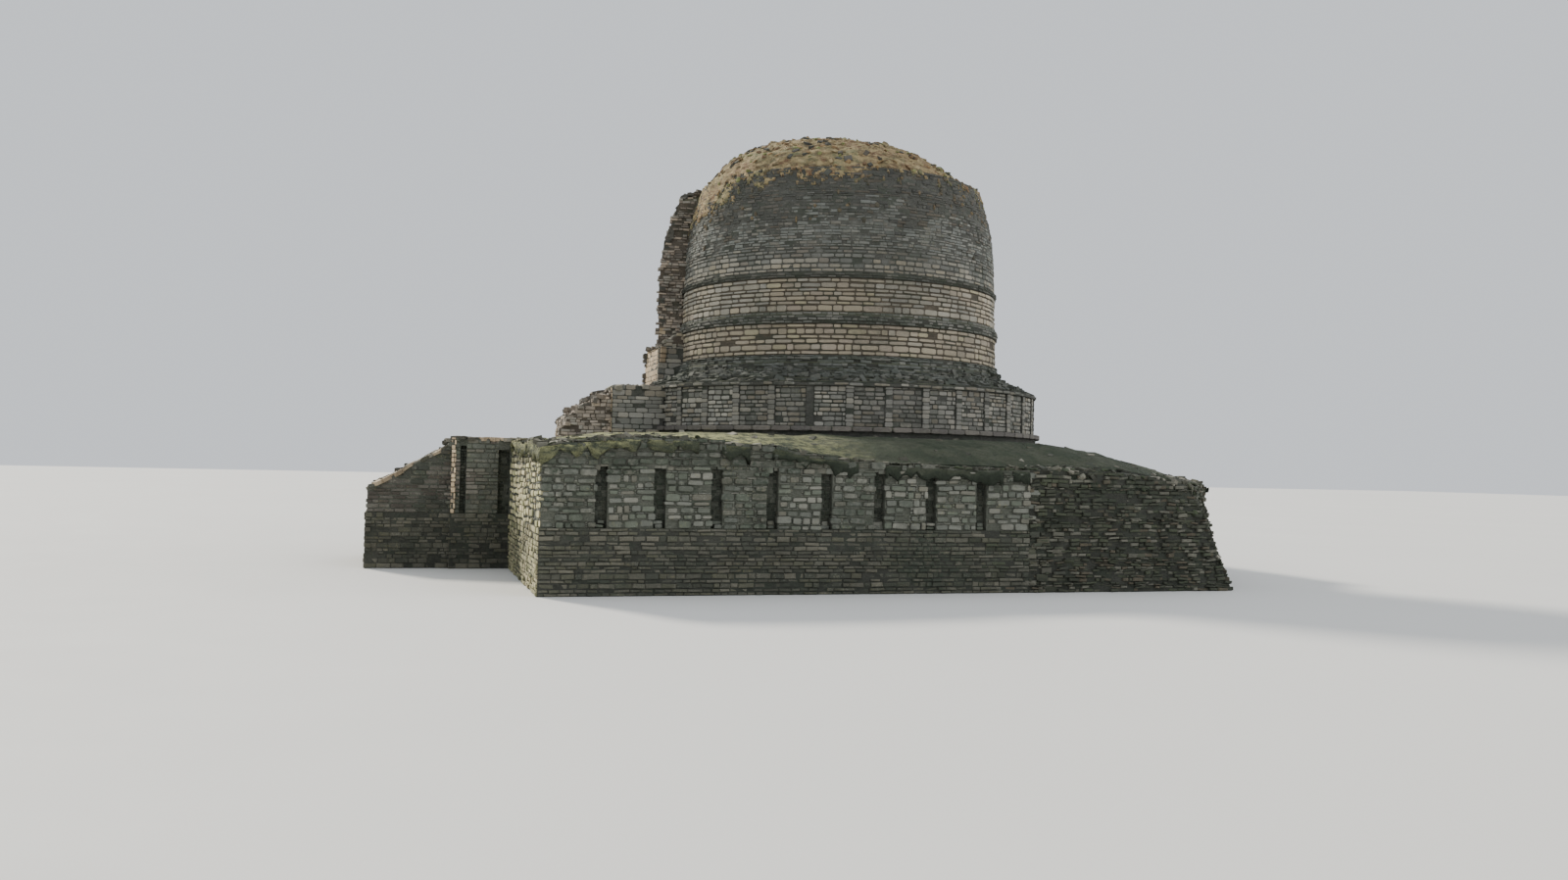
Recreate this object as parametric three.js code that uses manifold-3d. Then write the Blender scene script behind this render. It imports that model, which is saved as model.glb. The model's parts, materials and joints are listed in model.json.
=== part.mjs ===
import * as THREE from "three";
import { mergeVertices } from "three/addons/utils/BufferGeometryUtils.js";
import Module from "manifold-3d";

const wasm = await Module();
wasm.setup();

// A ruined stupa: a square podium with a flight of steps on its left side, a low round drum
// with a second, ruined flight, and a tall dome of banded masonry under a cap of earth.
// Millimetres. The origin is on the dome's axis at the lowest ground, X runs along the front
// to the right, Y runs to the back and Z is up.

// Clear gap between neighbouring pieces, and the wider one where a rough piece meets the dome.
const GAP = 0.3;
const ROUGH_GAP = 2;

// Square podium: half its side, wall thickness, how far the footing stands out, and the height
// at which the faced wall starts.
const HALF = 16450;
const WALL = 1300;
const INNER = HALF - WALL;
const FOOTING_OUT = 60;
const FACE_FROM = 2400;

// Empty slots in the faced walls, where the pilasters have been lost.
const BAY = 2100;
const SLOT_WIDTH = 440;
const SLOT_DEPTH = 280;
const SLOT_TOP = 4650;

// Where the facing ends at the fallen front right corner.
const FACE_END = 2400;
const RIGHT_START = -7700;

// Lower flight of steps, against the left side. Beyond the landing its side walls stand back.
const STAIR_HALF_WIDTH = 4200;
const FLANK = 900;
const FLANK_BACK = 300;
const STAIR_FOOT = 22500;
const LANDING_END = 19000;
const LANDING_TOP = 5700;
const LANDING_FLOOR = 5500;
const RISERS = 10;
const RISER = 200;
const TREAD = 345;

// Round drum on the podium.
const SEAT = 6060;
const SEAT_RADIUS = 10250;
const DRUM_INNER = 8600;
const DRUM_RADIUS = 9830;
const PILASTER_RADIUS = 9900;
const PILASTERS = 36;
const PILASTER_WIDTH = 330;
const PILASTER_TURN = THREE.MathUtils.degToRad(4.45);
const PLINTH_TOP = 6500;
const DRUM_TOP = 8280;
const COPING_TOP = 8400;
const COPING_RADIUS = 9980;

// Upper flight of steps, from the podium to the top of the drum. Its broken foot stands a little
// behind the side wall's face, and ends sooner at the back than at the front.
const UPPER_HALF_WIDTH = 2900;
const UPPER_BASE = 5700;
const UPPER_FOOT = 14200;
const UPPER_FACED = 11900;
const UPPER_TOP = 8320;
const BROKEN_IN = 250;
const BROKEN_END = 13600;

// Dome: the joints between its zones, and the radius of its rubble core.
const DOME_CORE = 6500;
const BERM_TOP = 9770;
const LOWER_BAND_TOP = 11190;
const LOWER_STRING_TOP = 11720;
const UPPER_BAND_TOP = 13270;
const UPPER_STRING_TOP = 13530;
const SMALL_COURSES_TOP = 14700;
const RUBBLE_TOP = 18500;
const BLOCK_TOP = 10560;

// Sides of every turned piece, and how far the old faces wander in and out.
const SIDES = 72;
const WEAR = 70;
const BERM_WEAR = 45;
const BAND_WEAR = 18;

// Lumps of the earth: their height, on the cap the centre they stand out from and the depth in
// which they fade out, and the spacing of the rings that carry them.
const FILL_LUMP = 110;
const CAP_LUMP = 130;
const CAP_CENTRE = 14500;
const CAP_FADE = 500;
const CAP_RING = 480;

// How the cap has slumped towards the front right, as [distance that way from the middle, share
// of its height lost], the way it leans, and how much of that share it has also drawn in.
const CAP_SLUMP = [
  [-6000, 0], [-4000, 0.05], [-2600, 0.08], [-700, 0.14], [1000, 0.17], [2000, 0.18],
  [3200, 0.21], [4600, 0.29], [5800, 0.37], [7000, 0.42],
];
const CAP_LEAN = [0.96, -0.29];
const CAP_DRAWN = 0.1;

// Heights of the broken wall tops, as [distance along the wall from its middle, height].
const FRONT_TOP = [
  [-16450, 5260], [-14900, 5470], [-13500, 5640], [-11350, 5630], [-9150, 5440],
  [-7650, 5370], [-5900, 5040], [-3800, 4870], [-1600, 4800], [500, 4730], [FACE_END - GAP, 4770],
];
const LEFT_BACK_TOP = [
  [-INNER + GAP, 5200], [-12600, 5480], [-9900, 5610], [-7300, 5560],
  [-STAIR_HALF_WIDTH - GAP, 5640],
];
const LEFT_FRONT_TOP = [
  [STAIR_HALF_WIDTH + GAP, 5640], [7100, 5600], [9700, 5420], [12400, 5520], [INNER - GAP, 5330],
];
const RIGHT_TOP = [
  [RIGHT_START + GAP, 4240], [-4600, 4660], [-1200, 4860], [2500, 4800], [6300, 5010],
  [10200, 4920], [INNER - GAP, 4760],
];
const BACK_TOP = [
  [-HALF, 4760], [-13100, 5040], [-9300, 5200], [-4700, 5120], [-700, 5330], [4100, 5280],
  [8600, 5480], [12700, 5390], [HALF, 5180],
];

// The earth fill meets the back of the walls along this line, [x, y, height].
const RIM = [
  [-INNER, -INNER, 5600], [-11350, -INNER, 5760], [-7650, -INNER, 5470], [-3800, -INNER, 4980],
  [FACE_END, -INNER, 4900], [7500, -15000, 4860], [9600, -14000, 4620], [11200, -11800, 4700],
  [13000, -9400, 4660], [INNER, RIGHT_START, 4500], [INNER, 2500, 4950], [INNER, INNER, 5000],
  [700, INNER, 5420], [-INNER, INNER, 5480], [-INNER, STAIR_HALF_WIDTH, 5720],
  [-INNER, -STAIR_HALF_WIDTH, 5720],
];

// Outline of the fallen corner at the ground and at its top, [x, y], and its top heights.
const CORNER_FOOT = [
  [2400, -16500], [4700, -16480], [7000, -16520], [9400, -16450], [11680, -16380],
  [12550, -14900], [13600, -12600], [15000, -10200], [16450, RIGHT_START],
];
const CORNER_HEAD = [
  [2400, -16390], [4700, -16250], [7000, -16080], [8800, -15960], [10150, -15700],
  [11450, -14200], [12600, -12200], [14200, -9900], [16330, RIGHT_START],
];
const CORNER_HEIGHT = [4770, 4800, 4700, 4470, 4290, 4300, 4320, 4330, 4230];
const CORNER_BACK = [
  [INNER, RIGHT_START, 4500], [13000, -9400, 4660], [11200, -11800, 4700],
  [9600, -14000, 4620], [7500, -15000, 4860], [FACE_END, -INNER, 4900],
];

// Faces of the dome, [radius, height], zone by zone from the drum up.
const BERM_FACE = [
  [9800, COPING_TOP], [9770, 8480], [9490, 8520], [9450, 8630], [9150, 8680], [9110, 8790],
  [8800, 8830], [8760, 8930], [8430, 8980], [8390, 9110], [8210, 9160], [8170, 9400],
  [8070, 9440], [8010, BERM_TOP],
];
const LOWER_BAND_FACE = [[7930, BERM_TOP], [7930, LOWER_BAND_TOP]];
const LOWER_STRING_FACE = [
  [8000, LOWER_BAND_TOP], [8060, 11330], [8040, 11540], [7930, LOWER_STRING_TOP],
];
const UPPER_BAND_FACE = [[7880, LOWER_STRING_TOP], [7860, UPPER_BAND_TOP]];
const UPPER_STRING_FACE = [
  [7900, UPPER_BAND_TOP], [7960, 13400], [7900, UPPER_STRING_TOP],
];
const SMALL_COURSES_FACE = [
  [7850, UPPER_STRING_TOP], [7820, 14100], [7790, SMALL_COURSES_TOP],
];
const RUBBLE_FACE = [
  [7780, SMALL_COURSES_TOP], [7770, 15080], [7690, 15850], [7600, 16570], [7390, 17560],
  [7080, RUBBLE_TOP],
];
const CAP_FACE = [
  [7080, RUBBLE_TOP], [6740, 19080], [6330, 19580], [5580, 20200], [4830, 20630],
  [3830, 21100], [2080, 21470], [900, 21600], [0, 21650],
];

// Outer face of the rib left standing beside the dome, [radius, height], the angles between
// which it stands, and the stepped masonry left at its foot, [distance to the left, height].
const RIB_FACE = [
  [9150, BLOCK_TOP], [9080, 11320], [9110, 13290], [9050, 14780], [8850, 16030],
  [8540, 16890], [8190, 17910], [8020, 18260], [7300, 18480],
];
const RIB_START = 172;
const RIB_END = 144;
const RIB_STEPS = 5;
const RIB_CLEAR = 0.03;
const RIB_FOOT_FRONT = 300;
const RIB_FOOT_BACK = 1600;
const RIB_FOOT_STEPS = [
  [8790, 10770], [8500, 10870], [8460, 11010], [8240, 11070], [8200, 11290], [7300, 11420],
];

function stone(name, colour, roughness) {
  const material = new THREE.MeshStandardMaterial({ color: colour, roughness, metalness: 0 });
  material.name = name;
  return material;
}

function podiumStone() {
  return stone("grey_schist_facing", 0x6f685b, 0.94);
}

function footingStone() {
  return stone("dark_footing_rubble", 0x4e493e, 0.96);
}

function cornerRubble() {
  return stone("fallen_corner_rubble", 0x433e34, 0.97);
}

function earth() {
  return stone("olive_earth_fill", 0x6c6a3c, 0.98);
}

function drumStone() {
  return stone("brown_grey_drum_facing", 0x6b6252, 0.94);
}

function ochreStone() {
  return stone("ochre_band_blocks", 0x94815f, 0.92);
}

function greyBlocks() {
  return stone("grey_ochre_band_blocks", 0x8d8470, 0.92);
}

function mossyStone() {
  return stone("dark_mossy_string", 0x45412f, 0.97);
}

function smallStone() {
  return stone("small_grey_courses", 0x6e6859, 0.95);
}

function domeRubble() {
  return stone("dark_dome_rubble", 0x554e40, 0.96);
}

function capEarth() {
  return stone("ochre_cap_earth", 0x7d6f3e, 0.98);
}

function brokenStone() {
  return stone("broken_brown_core", 0x554736, 0.97);
}

// A closed solid from a geometry, with its corners joined and its empty faces dropped.
function solid(geometry) {
  const bare = geometry.clone();
  bare.deleteAttribute("normal");
  bare.deleteAttribute("uv");
  const merged = mergeVertices(bare, 0.001);
  const index = merged.index.array;
  const faces = [];
  for (let i = 0; i < index.length; i += 3) {
    const [a, b, c] = [index[i], index[i + 1], index[i + 2]];
    if (a !== b && b !== c && c !== a) faces.push(a, b, c);
  }
  return new wasm.Manifold(new wasm.Mesh({
    numProp: 3,
    vertProperties: merged.attributes.position.array,
    triVerts: new Uint32Array(faces),
  }));
}

// A named piece in its own material, from a solid.
function piece(name, body, material) {
  const mesh = body.getMesh();
  const corners = new Float32Array(mesh.numVert * 3);
  for (let i = 0; i < mesh.numVert; i += 1) {
    const from = i * mesh.numProp;
    corners.set(mesh.vertProperties.subarray(from, from + 3), i * 3);
  }
  const shared = new THREE.BufferGeometry();
  shared.setAttribute("position", new THREE.BufferAttribute(corners, 3));
  shared.setIndex(new THREE.BufferAttribute(mesh.triVerts, 1));
  const geometry = shared.toNonIndexed();
  geometry.computeVertexNormals();
  const made = new THREE.Mesh(geometry, material);
  made.name = name;
  return made;
}

function block(x0, x1, y0, y1, z0, z1) {
  const box = new THREE.BoxGeometry(x1 - x0, y1 - y0, z1 - z0);
  box.translate((x0 + x1) / 2, (y0 + y1) / 2, (z0 + z1) / 2);
  return solid(box);
}

// A profile drawn in x and z, standing between two y values.
function upright(points, yFront, yBack) {
  const shape = new THREE.Shape(points.map(([x, z]) => new THREE.Vector2(x, z)));
  const extruded = new THREE.ExtrudeGeometry(shape, {
    depth: yBack - yFront,
    bevelEnabled: false,
  });
  extruded.rotateX(Math.PI / 2);
  extruded.translate(0, yBack, 0);
  return solid(extruded);
}

// How far an old face wanders in or out at an angle round the axis and a height, from -1 to 1.
function wander(angle, height) {
  const slow = Math.sin(5 * angle + height / 900);
  const middle = Math.sin(11 * angle - height / 520 + 1);
  const quick = Math.sin(19 * angle + height / 310 + 2);
  return 0.45 * slow + 0.3 * middle + 0.25 * quick;
}

// A solid turned about the axis, with the faces beyond a radius worn.
function turned(points, wear = 0, wornFrom = DOME_CORE + 100) {
  const profile = points.map(([radius, height]) => new THREE.Vector2(radius, height));
  const geometry = new THREE.LatheGeometry(profile, SIDES);
  geometry.rotateX(Math.PI / 2);
  const at = geometry.attributes.position;
  for (let i = 0; i < at.count; i += 1) {
    const [x, y, z] = [at.getX(i), at.getY(i), at.getZ(i)];
    const radius = Math.hypot(x, y);
    if (radius < wornFrom) continue;
    const worn = 1 + (wear * wander(Math.atan2(y, x), z)) / radius;
    at.setXYZ(i, x * worn, y * worn, z);
  }
  return solid(geometry);
}

// A ring of one zone: its face, backed by the core.
function zone(face, inner, wear) {
  const first = face[0];
  const last = face[face.length - 1];
  const outer = face.map(([radius, height], i) => [radius, i === 0 ? height + GAP : height]);
  return turned(
    [[inner, first[1] + GAP], ...outer, [inner, last[1]], [inner, first[1] + GAP]],
    wear,
  );
}

// A solid that fills one zone and stands a little outside it, to clear its neighbours.
function clearance(face, wear, grow) {
  const first = face[0];
  const last = face[face.length - 1];
  const outer = face.map(([radius, height]) => [radius + grow, height + grow]);
  return turned(
    [
      [0, first[1] - grow], [first[0] + grow, first[1] - grow], ...outer,
      [last[0] + grow, last[1] + grow], [0, last[1] + grow],
    ],
    wear,
  );
}

// How high the old earth stands in lumps at a place, from -1 to 1.
function lump(x, y) {
  const along = Math.sin(x / 430 + 0.9 * Math.sin(y / 610));
  const across = Math.sin(y / 390 + 0.8 * Math.cos(x / 540));
  return 0.6 * along * across + 0.4 * Math.sin((x - y) / 350 + 1);
}

// A profile with points put in, so that none are further apart than a spacing.
function closer(points, spacing) {
  return points.flatMap(([x, y], i) => {
    if (i === 0) return [[x, y]];
    const [fromX, fromY] = points[i - 1];
    const count = Math.ceil(Math.hypot(x - fromX, y - fromY) / spacing);
    return Array.from({ length: count }, (_, step) => {
      const share = (step + 1) / count;
      return [fromX + (x - fromX) * share, fromY + (y - fromY) * share];
    });
  });
}

// A closed solid through level outlines, [x, y, z] each, counter-clockwise seen from above.
function lofted(levels) {
  const count = levels[0].length;
  const corners = levels.flat(2);
  const faces = [];
  for (let level = 0; level < levels.length - 1; level += 1) {
    for (let i = 0; i < count; i += 1) {
      const a = level * count + i;
      const b = level * count + ((i + 1) % count);
      faces.push(a, b, b + count, a, b + count, a + count);
    }
  }
  const flat = levels[0].map(([x, y]) => new THREE.Vector2(x, y));
  const lid = (levels.length - 1) * count;
  for (const [a, b, c] of THREE.ShapeUtils.triangulateShape(flat, [])) {
    faces.push(a, c, b);
    faces.push(lid + a, lid + b, lid + c);
  }
  const geometry = new THREE.BufferGeometry();
  geometry.setAttribute("position", new THREE.Float32BufferAttribute(corners, 3));
  geometry.setIndex(faces);
  return solid(geometry);
}

// One side of the podium, drawn as the front and turned into place by quarter turns.
function onSide(made, quarterTurns) {
  made.rotation.z = (quarterTurns * Math.PI) / 2;
  return made;
}

function footing(x0, x1) {
  return block(x0, x1, -HALF - FOOTING_OUT, -INNER, 0, FACE_FROM - GAP);
}

// A faced wall with a broken top and a row of empty pilaster slots.
function facedWall(top) {
  const start = top[0][0];
  const end = top[top.length - 1][0];
  const outline = [[start, FACE_FROM], [end, FACE_FROM], ...[...top].reverse()];
  let wall = upright(outline, -HALF, -INNER);
  for (let x = -HALF; x < HALF; x += BAY) {
    const clear = x - SLOT_WIDTH > start && x + SLOT_WIDTH < end;
    if (!clear) continue;
    wall = wall.subtract(block(
      x - SLOT_WIDTH / 2, x + SLOT_WIDTH / 2,
      -HALF - SLOT_DEPTH, -HALF + SLOT_DEPTH,
      FACE_FROM - SLOT_DEPTH, SLOT_TOP,
    ));
  }
  return wall;
}

// Where the ray from the axis through an angle meets the rim of the fill, [radius, height].
function rimAt(angle) {
  const dx = Math.cos(angle);
  const dy = Math.sin(angle);
  for (let i = 0; i < RIM.length; i += 1) {
    const [ax, ay, az] = RIM[i];
    const [bx, by, bz] = RIM[(i + 1) % RIM.length];
    const across = dx * (by - ay) - dy * (bx - ax);
    const along = (ax * (by - ay) - ay * (bx - ax)) / across;
    const share = (ax * dy - ay * dx) / across;
    const inside = along > 0 && share > -1e-9 && share < 1 + 1e-9;
    if (inside) return [along - 2 * GAP, az + (bz - az) * share];
  }
  throw new Error("the rim of the fill is open");
}

// Angles at which the fill is drawn: even steps, and every corner of its rim.
function fillAngles() {
  const corners = RIM.map(([x, y]) => Math.atan2(y, x));
  const step = (2 * Math.PI) / SIDES;
  const even = Array.from({ length: SIDES }, (_, i) => -Math.PI + (i + 0.5) * step);
  const spaced = even.filter((a) => corners.every((c) => Math.abs(a - c) > step / 4));
  return [...corners, ...spaced].sort((a, b) => a - b);
}

// How strongly the fill bulges up between the drum and the wall, at an angle.
function bulge(angle) {
  const towardsFrontLeft = Math.max(0, Math.cos(angle + (3 * Math.PI) / 4));
  return 1.5 + 1.3 * towardsFrontLeft;
}

// Earth and rubble inside the podium, sloping down from the drum to the walls.
function podiumCore() {
  const angles = fillAngles();
  const steps = [0.1, 0.21, 0.32, 0.43, 0.54, 0.65, 0.76, 0.88, 1];
  const levels = [];
  const rim = angles.map(rimAt);
  const at = (i, radius, height) => [
    Math.cos(angles[i]) * radius, Math.sin(angles[i]) * radius, height,
  ];
  levels.push(angles.map((_, i) => at(i, rim[i][0], 0)));
  for (const out of [...steps].reverse()) {
    levels.push(angles.map((angle, i) => {
      const [radius, height] = rim[i];
      const inwards = 1 - out;
      const rise = 1 - (1 - inwards) ** bulge(angle);
      const flat = at(i, SEAT_RADIUS + (radius - SEAT_RADIUS) * out, 0);
      const heave = FILL_LUMP * Math.sin(inwards * Math.PI) * lump(flat[0], flat[1]);
      return [flat[0], flat[1], height + (SEAT - height) * rise + heave];
    }));
  }
  levels.push(angles.map((_, i) => at(i, SEAT_RADIUS, SEAT - GAP)));
  const seat = turned([
    [0, SEAT - GAP], [SEAT_RADIUS, SEAT - GAP], [SEAT_RADIUS, SEAT + WALL], [0, SEAT + WALL],
  ]);
  const pocket = block(
    -UPPER_FOOT - GAP, -DRUM_INNER, -UPPER_HALF_WIDTH - GAP, UPPER_HALF_WIDTH + GAP,
    UPPER_BASE - GAP, SEAT + WALL,
  ).subtract(turned([[0, UPPER_BASE - WALL], [SEAT_RADIUS, UPPER_BASE - WALL],
    [SEAT_RADIUS, SEAT - GAP], [0, SEAT - GAP]]));
  return lofted(levels).subtract(seat).subtract(pocket);
}

// The outline of the fallen corner part way up, with its broken face worn.
function cornerLevel(share) {
  const outer = CORNER_FOOT.map(([x, y], i) => {
    const [headX, headY] = CORNER_HEAD[i];
    const height = CORNER_HEIGHT[i] * share;
    const ends = i === 0 || i === CORNER_FOOT.length - 1;
    const worn = ends ? 0 : WEAR * wander(i * 0.7, height);
    return [x + (headX - x) * share + worn, y + (headY - y) * share - worn, height];
  });
  const back = CORNER_BACK.map(([x, y, height]) => [x, y, height * share]);
  outer[0][0] += GAP;
  back[back.length - 1][0] += GAP;
  return [...outer, ...back];
}

function fallenCorner() {
  return lofted([0, 0.14, 0.28, 0.42, 0.56, 0.7, 0.85, 1].map(cornerLevel));
}

// Profile of the low side walls of the lower flight.
function flankOutline() {
  return [
    [-STAIR_FOOT, FACE_FROM], [-INNER - GAP, FACE_FROM], [-INNER - GAP, 5640], [-17900, 5660],
    [-LANDING_END, LANDING_TOP], [-19050, 5360], [-19900, 4890], [-20700, 4440],
    [-21500, 3950], [-22100, 3680], [-STAIR_FOOT, 3400],
  ];
}

function stairFlank(yFront, yBack, yFace) {
  const inset = yFace < 0 ? 1 : -1;
  const faces = [yFace - inset * SLOT_DEPTH, yFace + inset * SLOT_DEPTH].sort((a, b) => a - b);
  const outer = block(-18680, -18430, ...faces, FACE_FROM - SLOT_DEPTH, 5350);
  const inner = block(-17050, -16560, ...faces, FACE_FROM - SLOT_DEPTH, 5200);
  const room = [yFace - inset * FLANK_BACK, yFace + inset * FLANK_BACK].sort((a, b) => a - b);
  const beyond = block(
    -STAIR_FOOT - WALL, -LANDING_END, ...room, FACE_FROM - SLOT_DEPTH, LANDING_TOP,
  );
  return upright(flankOutline(), yFront, yBack).subtract(outer).subtract(inner)
    .subtract(beyond);
}

// One stone tread of the lower flight, as wide as the room between its side walls.
function tread(step) {
  const back = -LANDING_END - GAP - step * TREAD;
  const top = LANDING_FLOOR - RISER * (step + 1);
  const reach = STAIR_HALF_WIDTH - FLANK - GAP;
  return block(back - TREAD + GAP, back, -reach, reach, top - RISER + GAP, top);
}

// Masonry under the treads, rising in the same steps.
function stairCore() {
  const points = [[-LANDING_END - GAP, FACE_FROM]];
  for (let step = 0; step < RISERS; step += 1) {
    const back = -LANDING_END - GAP - step * TREAD;
    const height = LANDING_FLOOR - RISER * (step + 2);
    points.push([back, height], [back - TREAD, height]);
  }
  points.push([-LANDING_END - GAP - RISERS * TREAD, FACE_FROM]);
  const reach = STAIR_HALF_WIDTH - FLANK - GAP;
  return upright(points.reverse(), -reach, reach);
}

function stairLanding() {
  const reach = STAIR_HALF_WIDTH - FLANK - GAP;
  return block(-LANDING_END, -INNER - GAP, -reach, reach, FACE_FROM, LANDING_FLOOR);
}

function stairFooting() {
  const wide = STAIR_HALF_WIDTH + FOOTING_OUT;
  const narrow = wide - FLANK_BACK;
  const end = -LANDING_END - FOOTING_OUT;
  const underLanding = block(end, -HALF - FOOTING_OUT - GAP, -wide, wide, 0, FACE_FROM - GAP);
  const underSteps = block(
    -STAIR_FOOT - FOOTING_OUT, -HALF - WALL, -narrow, narrow, 0, FACE_FROM - GAP,
  );
  return underLanding.add(underSteps);
}

// Rounded base moulding of the drum.
function drumPlinth() {
  return turned([
    [DRUM_INNER, SEAT], [10020, SEAT], [10020, 6320], [10140, 6340], [10170, 6400],
    [10140, 6465],
    [10020, PLINTH_TOP - GAP], [DRUM_INNER, PLINTH_TOP - GAP], [DRUM_INNER, SEAT],
  ]);
}

// Drum wall with its ring of shallow pilasters.
function drumWall() {
  const shape = new THREE.Shape();
  const half = PILASTER_WIDTH / 2 / DRUM_RADIUS;
  const points = [];
  for (let i = 0; i < PILASTERS; i += 1) {
    const middle = PILASTER_TURN + (i * 2 * Math.PI) / PILASTERS;
    const next = middle + Math.PI / PILASTERS;
    points.push([DRUM_RADIUS, middle - half], [PILASTER_RADIUS, middle - half]);
    points.push([PILASTER_RADIUS, middle + half], [DRUM_RADIUS, middle + half]);
    points.push([DRUM_RADIUS, next]);
  }
  shape.setFromPoints(points.map(([radius, angle]) => new THREE.Vector2(
    radius * Math.cos(angle), radius * Math.sin(angle),
  )));
  const step = (2 * Math.PI) / SIDES;
  const hole = Array.from({ length: SIDES }, (_, i) => new THREE.Vector2(
    DRUM_INNER * Math.cos(i * step), DRUM_INNER * Math.sin(i * step),
  ));
  shape.holes.push(new THREE.Path(hole));
  const extruded = new THREE.ExtrudeGeometry(shape, {
    depth: DRUM_TOP - PLINTH_TOP - GAP,
    bevelEnabled: false,
  });
  extruded.translate(0, 0, PLINTH_TOP);
  return solid(extruded);
}

function drumCoping() {
  return turned([
    [DRUM_INNER, DRUM_TOP], [COPING_RADIUS, DRUM_TOP], [COPING_RADIUS, COPING_TOP],
    [DRUM_INNER, COPING_TOP], [DRUM_INNER, DRUM_TOP],
  ]);
}

function drumCore() {
  const radius = DRUM_INNER - 2 * GAP;
  return turned([[0, SEAT], [radius, SEAT], [radius, COPING_TOP], [0, COPING_TOP]]);
}

// Everything of the drum and its seat, grown a little, that the upper flight has to clear.
function drumClearance() {
  const plinth = 10170 + ROUGH_GAP;
  const wall = PILASTER_RADIUS + 30;
  const coping = COPING_RADIUS + ROUGH_GAP;
  return turned([
    [0, UPPER_BASE - WALL], [SEAT_RADIUS + 2 * GAP, UPPER_BASE - WALL],
    [SEAT_RADIUS + 2 * GAP, SEAT + GAP], [plinth, SEAT + GAP], [plinth, PLINTH_TOP + GAP],
    [wall, PLINTH_TOP + GAP], [wall, DRUM_TOP - GAP], [coping, DRUM_TOP - GAP],
    [coping, COPING_TOP + WALL], [0, COPING_TOP + WALL],
  ]);
}

// Side wall of the upper flight, standing only next to the drum.
function upperFlank(yFront, yBack) {
  const outline = [
    [-UPPER_FACED, UPPER_BASE], [-DRUM_INNER, UPPER_BASE], [-DRUM_INNER, UPPER_TOP + 40],
    [-11000, UPPER_TOP], [-11500, 8290], [-UPPER_FACED, 8230],
  ];
  return upright(outline, yFront, yBack).subtract(drumClearance());
}

// What is left of the upper steps: a slope of broken treads and rubble.
function upperStairCore() {
  const outline = [
    [-UPPER_FOOT, UPPER_BASE], [-DRUM_INNER, UPPER_BASE], [-DRUM_INNER, 8300], [-10600, 8250],
    [-11300, 8050], [-UPPER_FACED, 8090], [-12050, 7850], [-12600, 7780], [-12750, 7440],
    [-13350, 7300], [-13450, 6950], [-13900, 6770], [-14050, 6370], [-UPPER_FOOT, 6270],
  ];
  const reach = UPPER_HALF_WIDTH - FLANK;
  const room = (yFront, yBack) => block(
    -UPPER_FACED - 2 * GAP, 0, yFront, yBack, UPPER_BASE - WALL, COPING_TOP + WALL,
  );
  const lostCorner = (height) => [
    [-UPPER_FOOT - GAP, UPPER_HALF_WIDTH + GAP, height], [-UPPER_FOOT - GAP, -reach / 2, height],
    [-BROKEN_END, UPPER_HALF_WIDTH + GAP, height],
  ];
  return upright(outline, BROKEN_IN - UPPER_HALF_WIDTH, UPPER_HALF_WIDTH)
    .subtract(lofted([lostCorner(UPPER_BASE - GAP), lostCorner(COPING_TOP)]))
    .subtract(room(-UPPER_HALF_WIDTH - WALL, -reach + GAP))
    .subtract(room(reach - GAP, UPPER_HALF_WIDTH + WALL))
    .subtract(drumClearance());
}

function domeCore() {
  const radius = DOME_CORE - 2 * GAP;
  return turned([
    [0, COPING_TOP + GAP], [radius, COPING_TOP + GAP], [radius, RUBBLE_TOP], [0, RUBBLE_TOP],
  ]);
}

// Share of the cap's height that is lost over a point.
function slumpAt(x, y) {
  const along = x * CAP_LEAN[0] + y * CAP_LEAN[1];
  const i = CAP_SLUMP.findIndex(([distance]) => distance > along);
  if (i === 0) return CAP_SLUMP[0][1];
  if (i < 0) return CAP_SLUMP[CAP_SLUMP.length - 1][1];
  const [[a, low], [b, high]] = [CAP_SLUMP[i - 1], CAP_SLUMP[i]];
  return low + ((high - low) * (along - a)) / (b - a);
}

// Moves a point of the cap out or in by the lumps of its earth, and down by its slump.
function heaveCap(at) {
  const [x, y, z] = at;
  const base = RUBBLE_TOP + GAP;
  const fade = Math.min(Math.max((z - base) / CAP_FADE, 0), 1);
  const out = 1 + (CAP_LUMP * fade * lump(x, y)) / Math.hypot(x, y, z - CAP_CENTRE);
  const slump = slumpAt(x, y);
  const drawn = 1 - slump * CAP_DRAWN;
  at[0] = x * out * drawn;
  at[1] = y * out * drawn;
  at[2] = base + (CAP_CENTRE + (z - CAP_CENTRE) * out - base) * (1 - slump);
}

function domeCap() {
  const face = CAP_FACE.map(([radius, height], i) => [radius, i === 0 ? height + GAP : height]);
  const rings = closer(face, CAP_RING);
  return turned([[0, RUBBLE_TOP + GAP], ...rings], WEAR, 1000).warp(heaveCap);
}

// Everything of the dome, grown a little, that the block and the rib have to clear.
function domeClearance() {
  const zones = [
    [BERM_FACE, BERM_WEAR], [LOWER_BAND_FACE, BAND_WEAR], [LOWER_STRING_FACE, BAND_WEAR],
    [UPPER_BAND_FACE, BAND_WEAR], [UPPER_STRING_FACE, BAND_WEAR],
    [SMALL_COURSES_FACE, BAND_WEAR], [RUBBLE_FACE, WEAR],
  ];
  return zones
    .map(([face, wear]) => clearance(face, wear, ROUGH_GAP))
    .reduce((all, next) => all.add(next));
}

// Square block at the foot of the rib.
function footBlock() {
  const level = (shrink, height) => [
    [-9180 + shrink, 4050 - shrink, height], [-9180 + shrink, 200 + shrink / 3, height],
    [-6900, 200 + shrink / 3, height], [-6000, 4050 - shrink, height],
  ];
  const low = COPING_TOP + GAP;
  return lofted([level(0, low), level(60, 9500), level(130, BLOCK_TOP - GAP)])
    .subtract(domeClearance());
}

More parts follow.
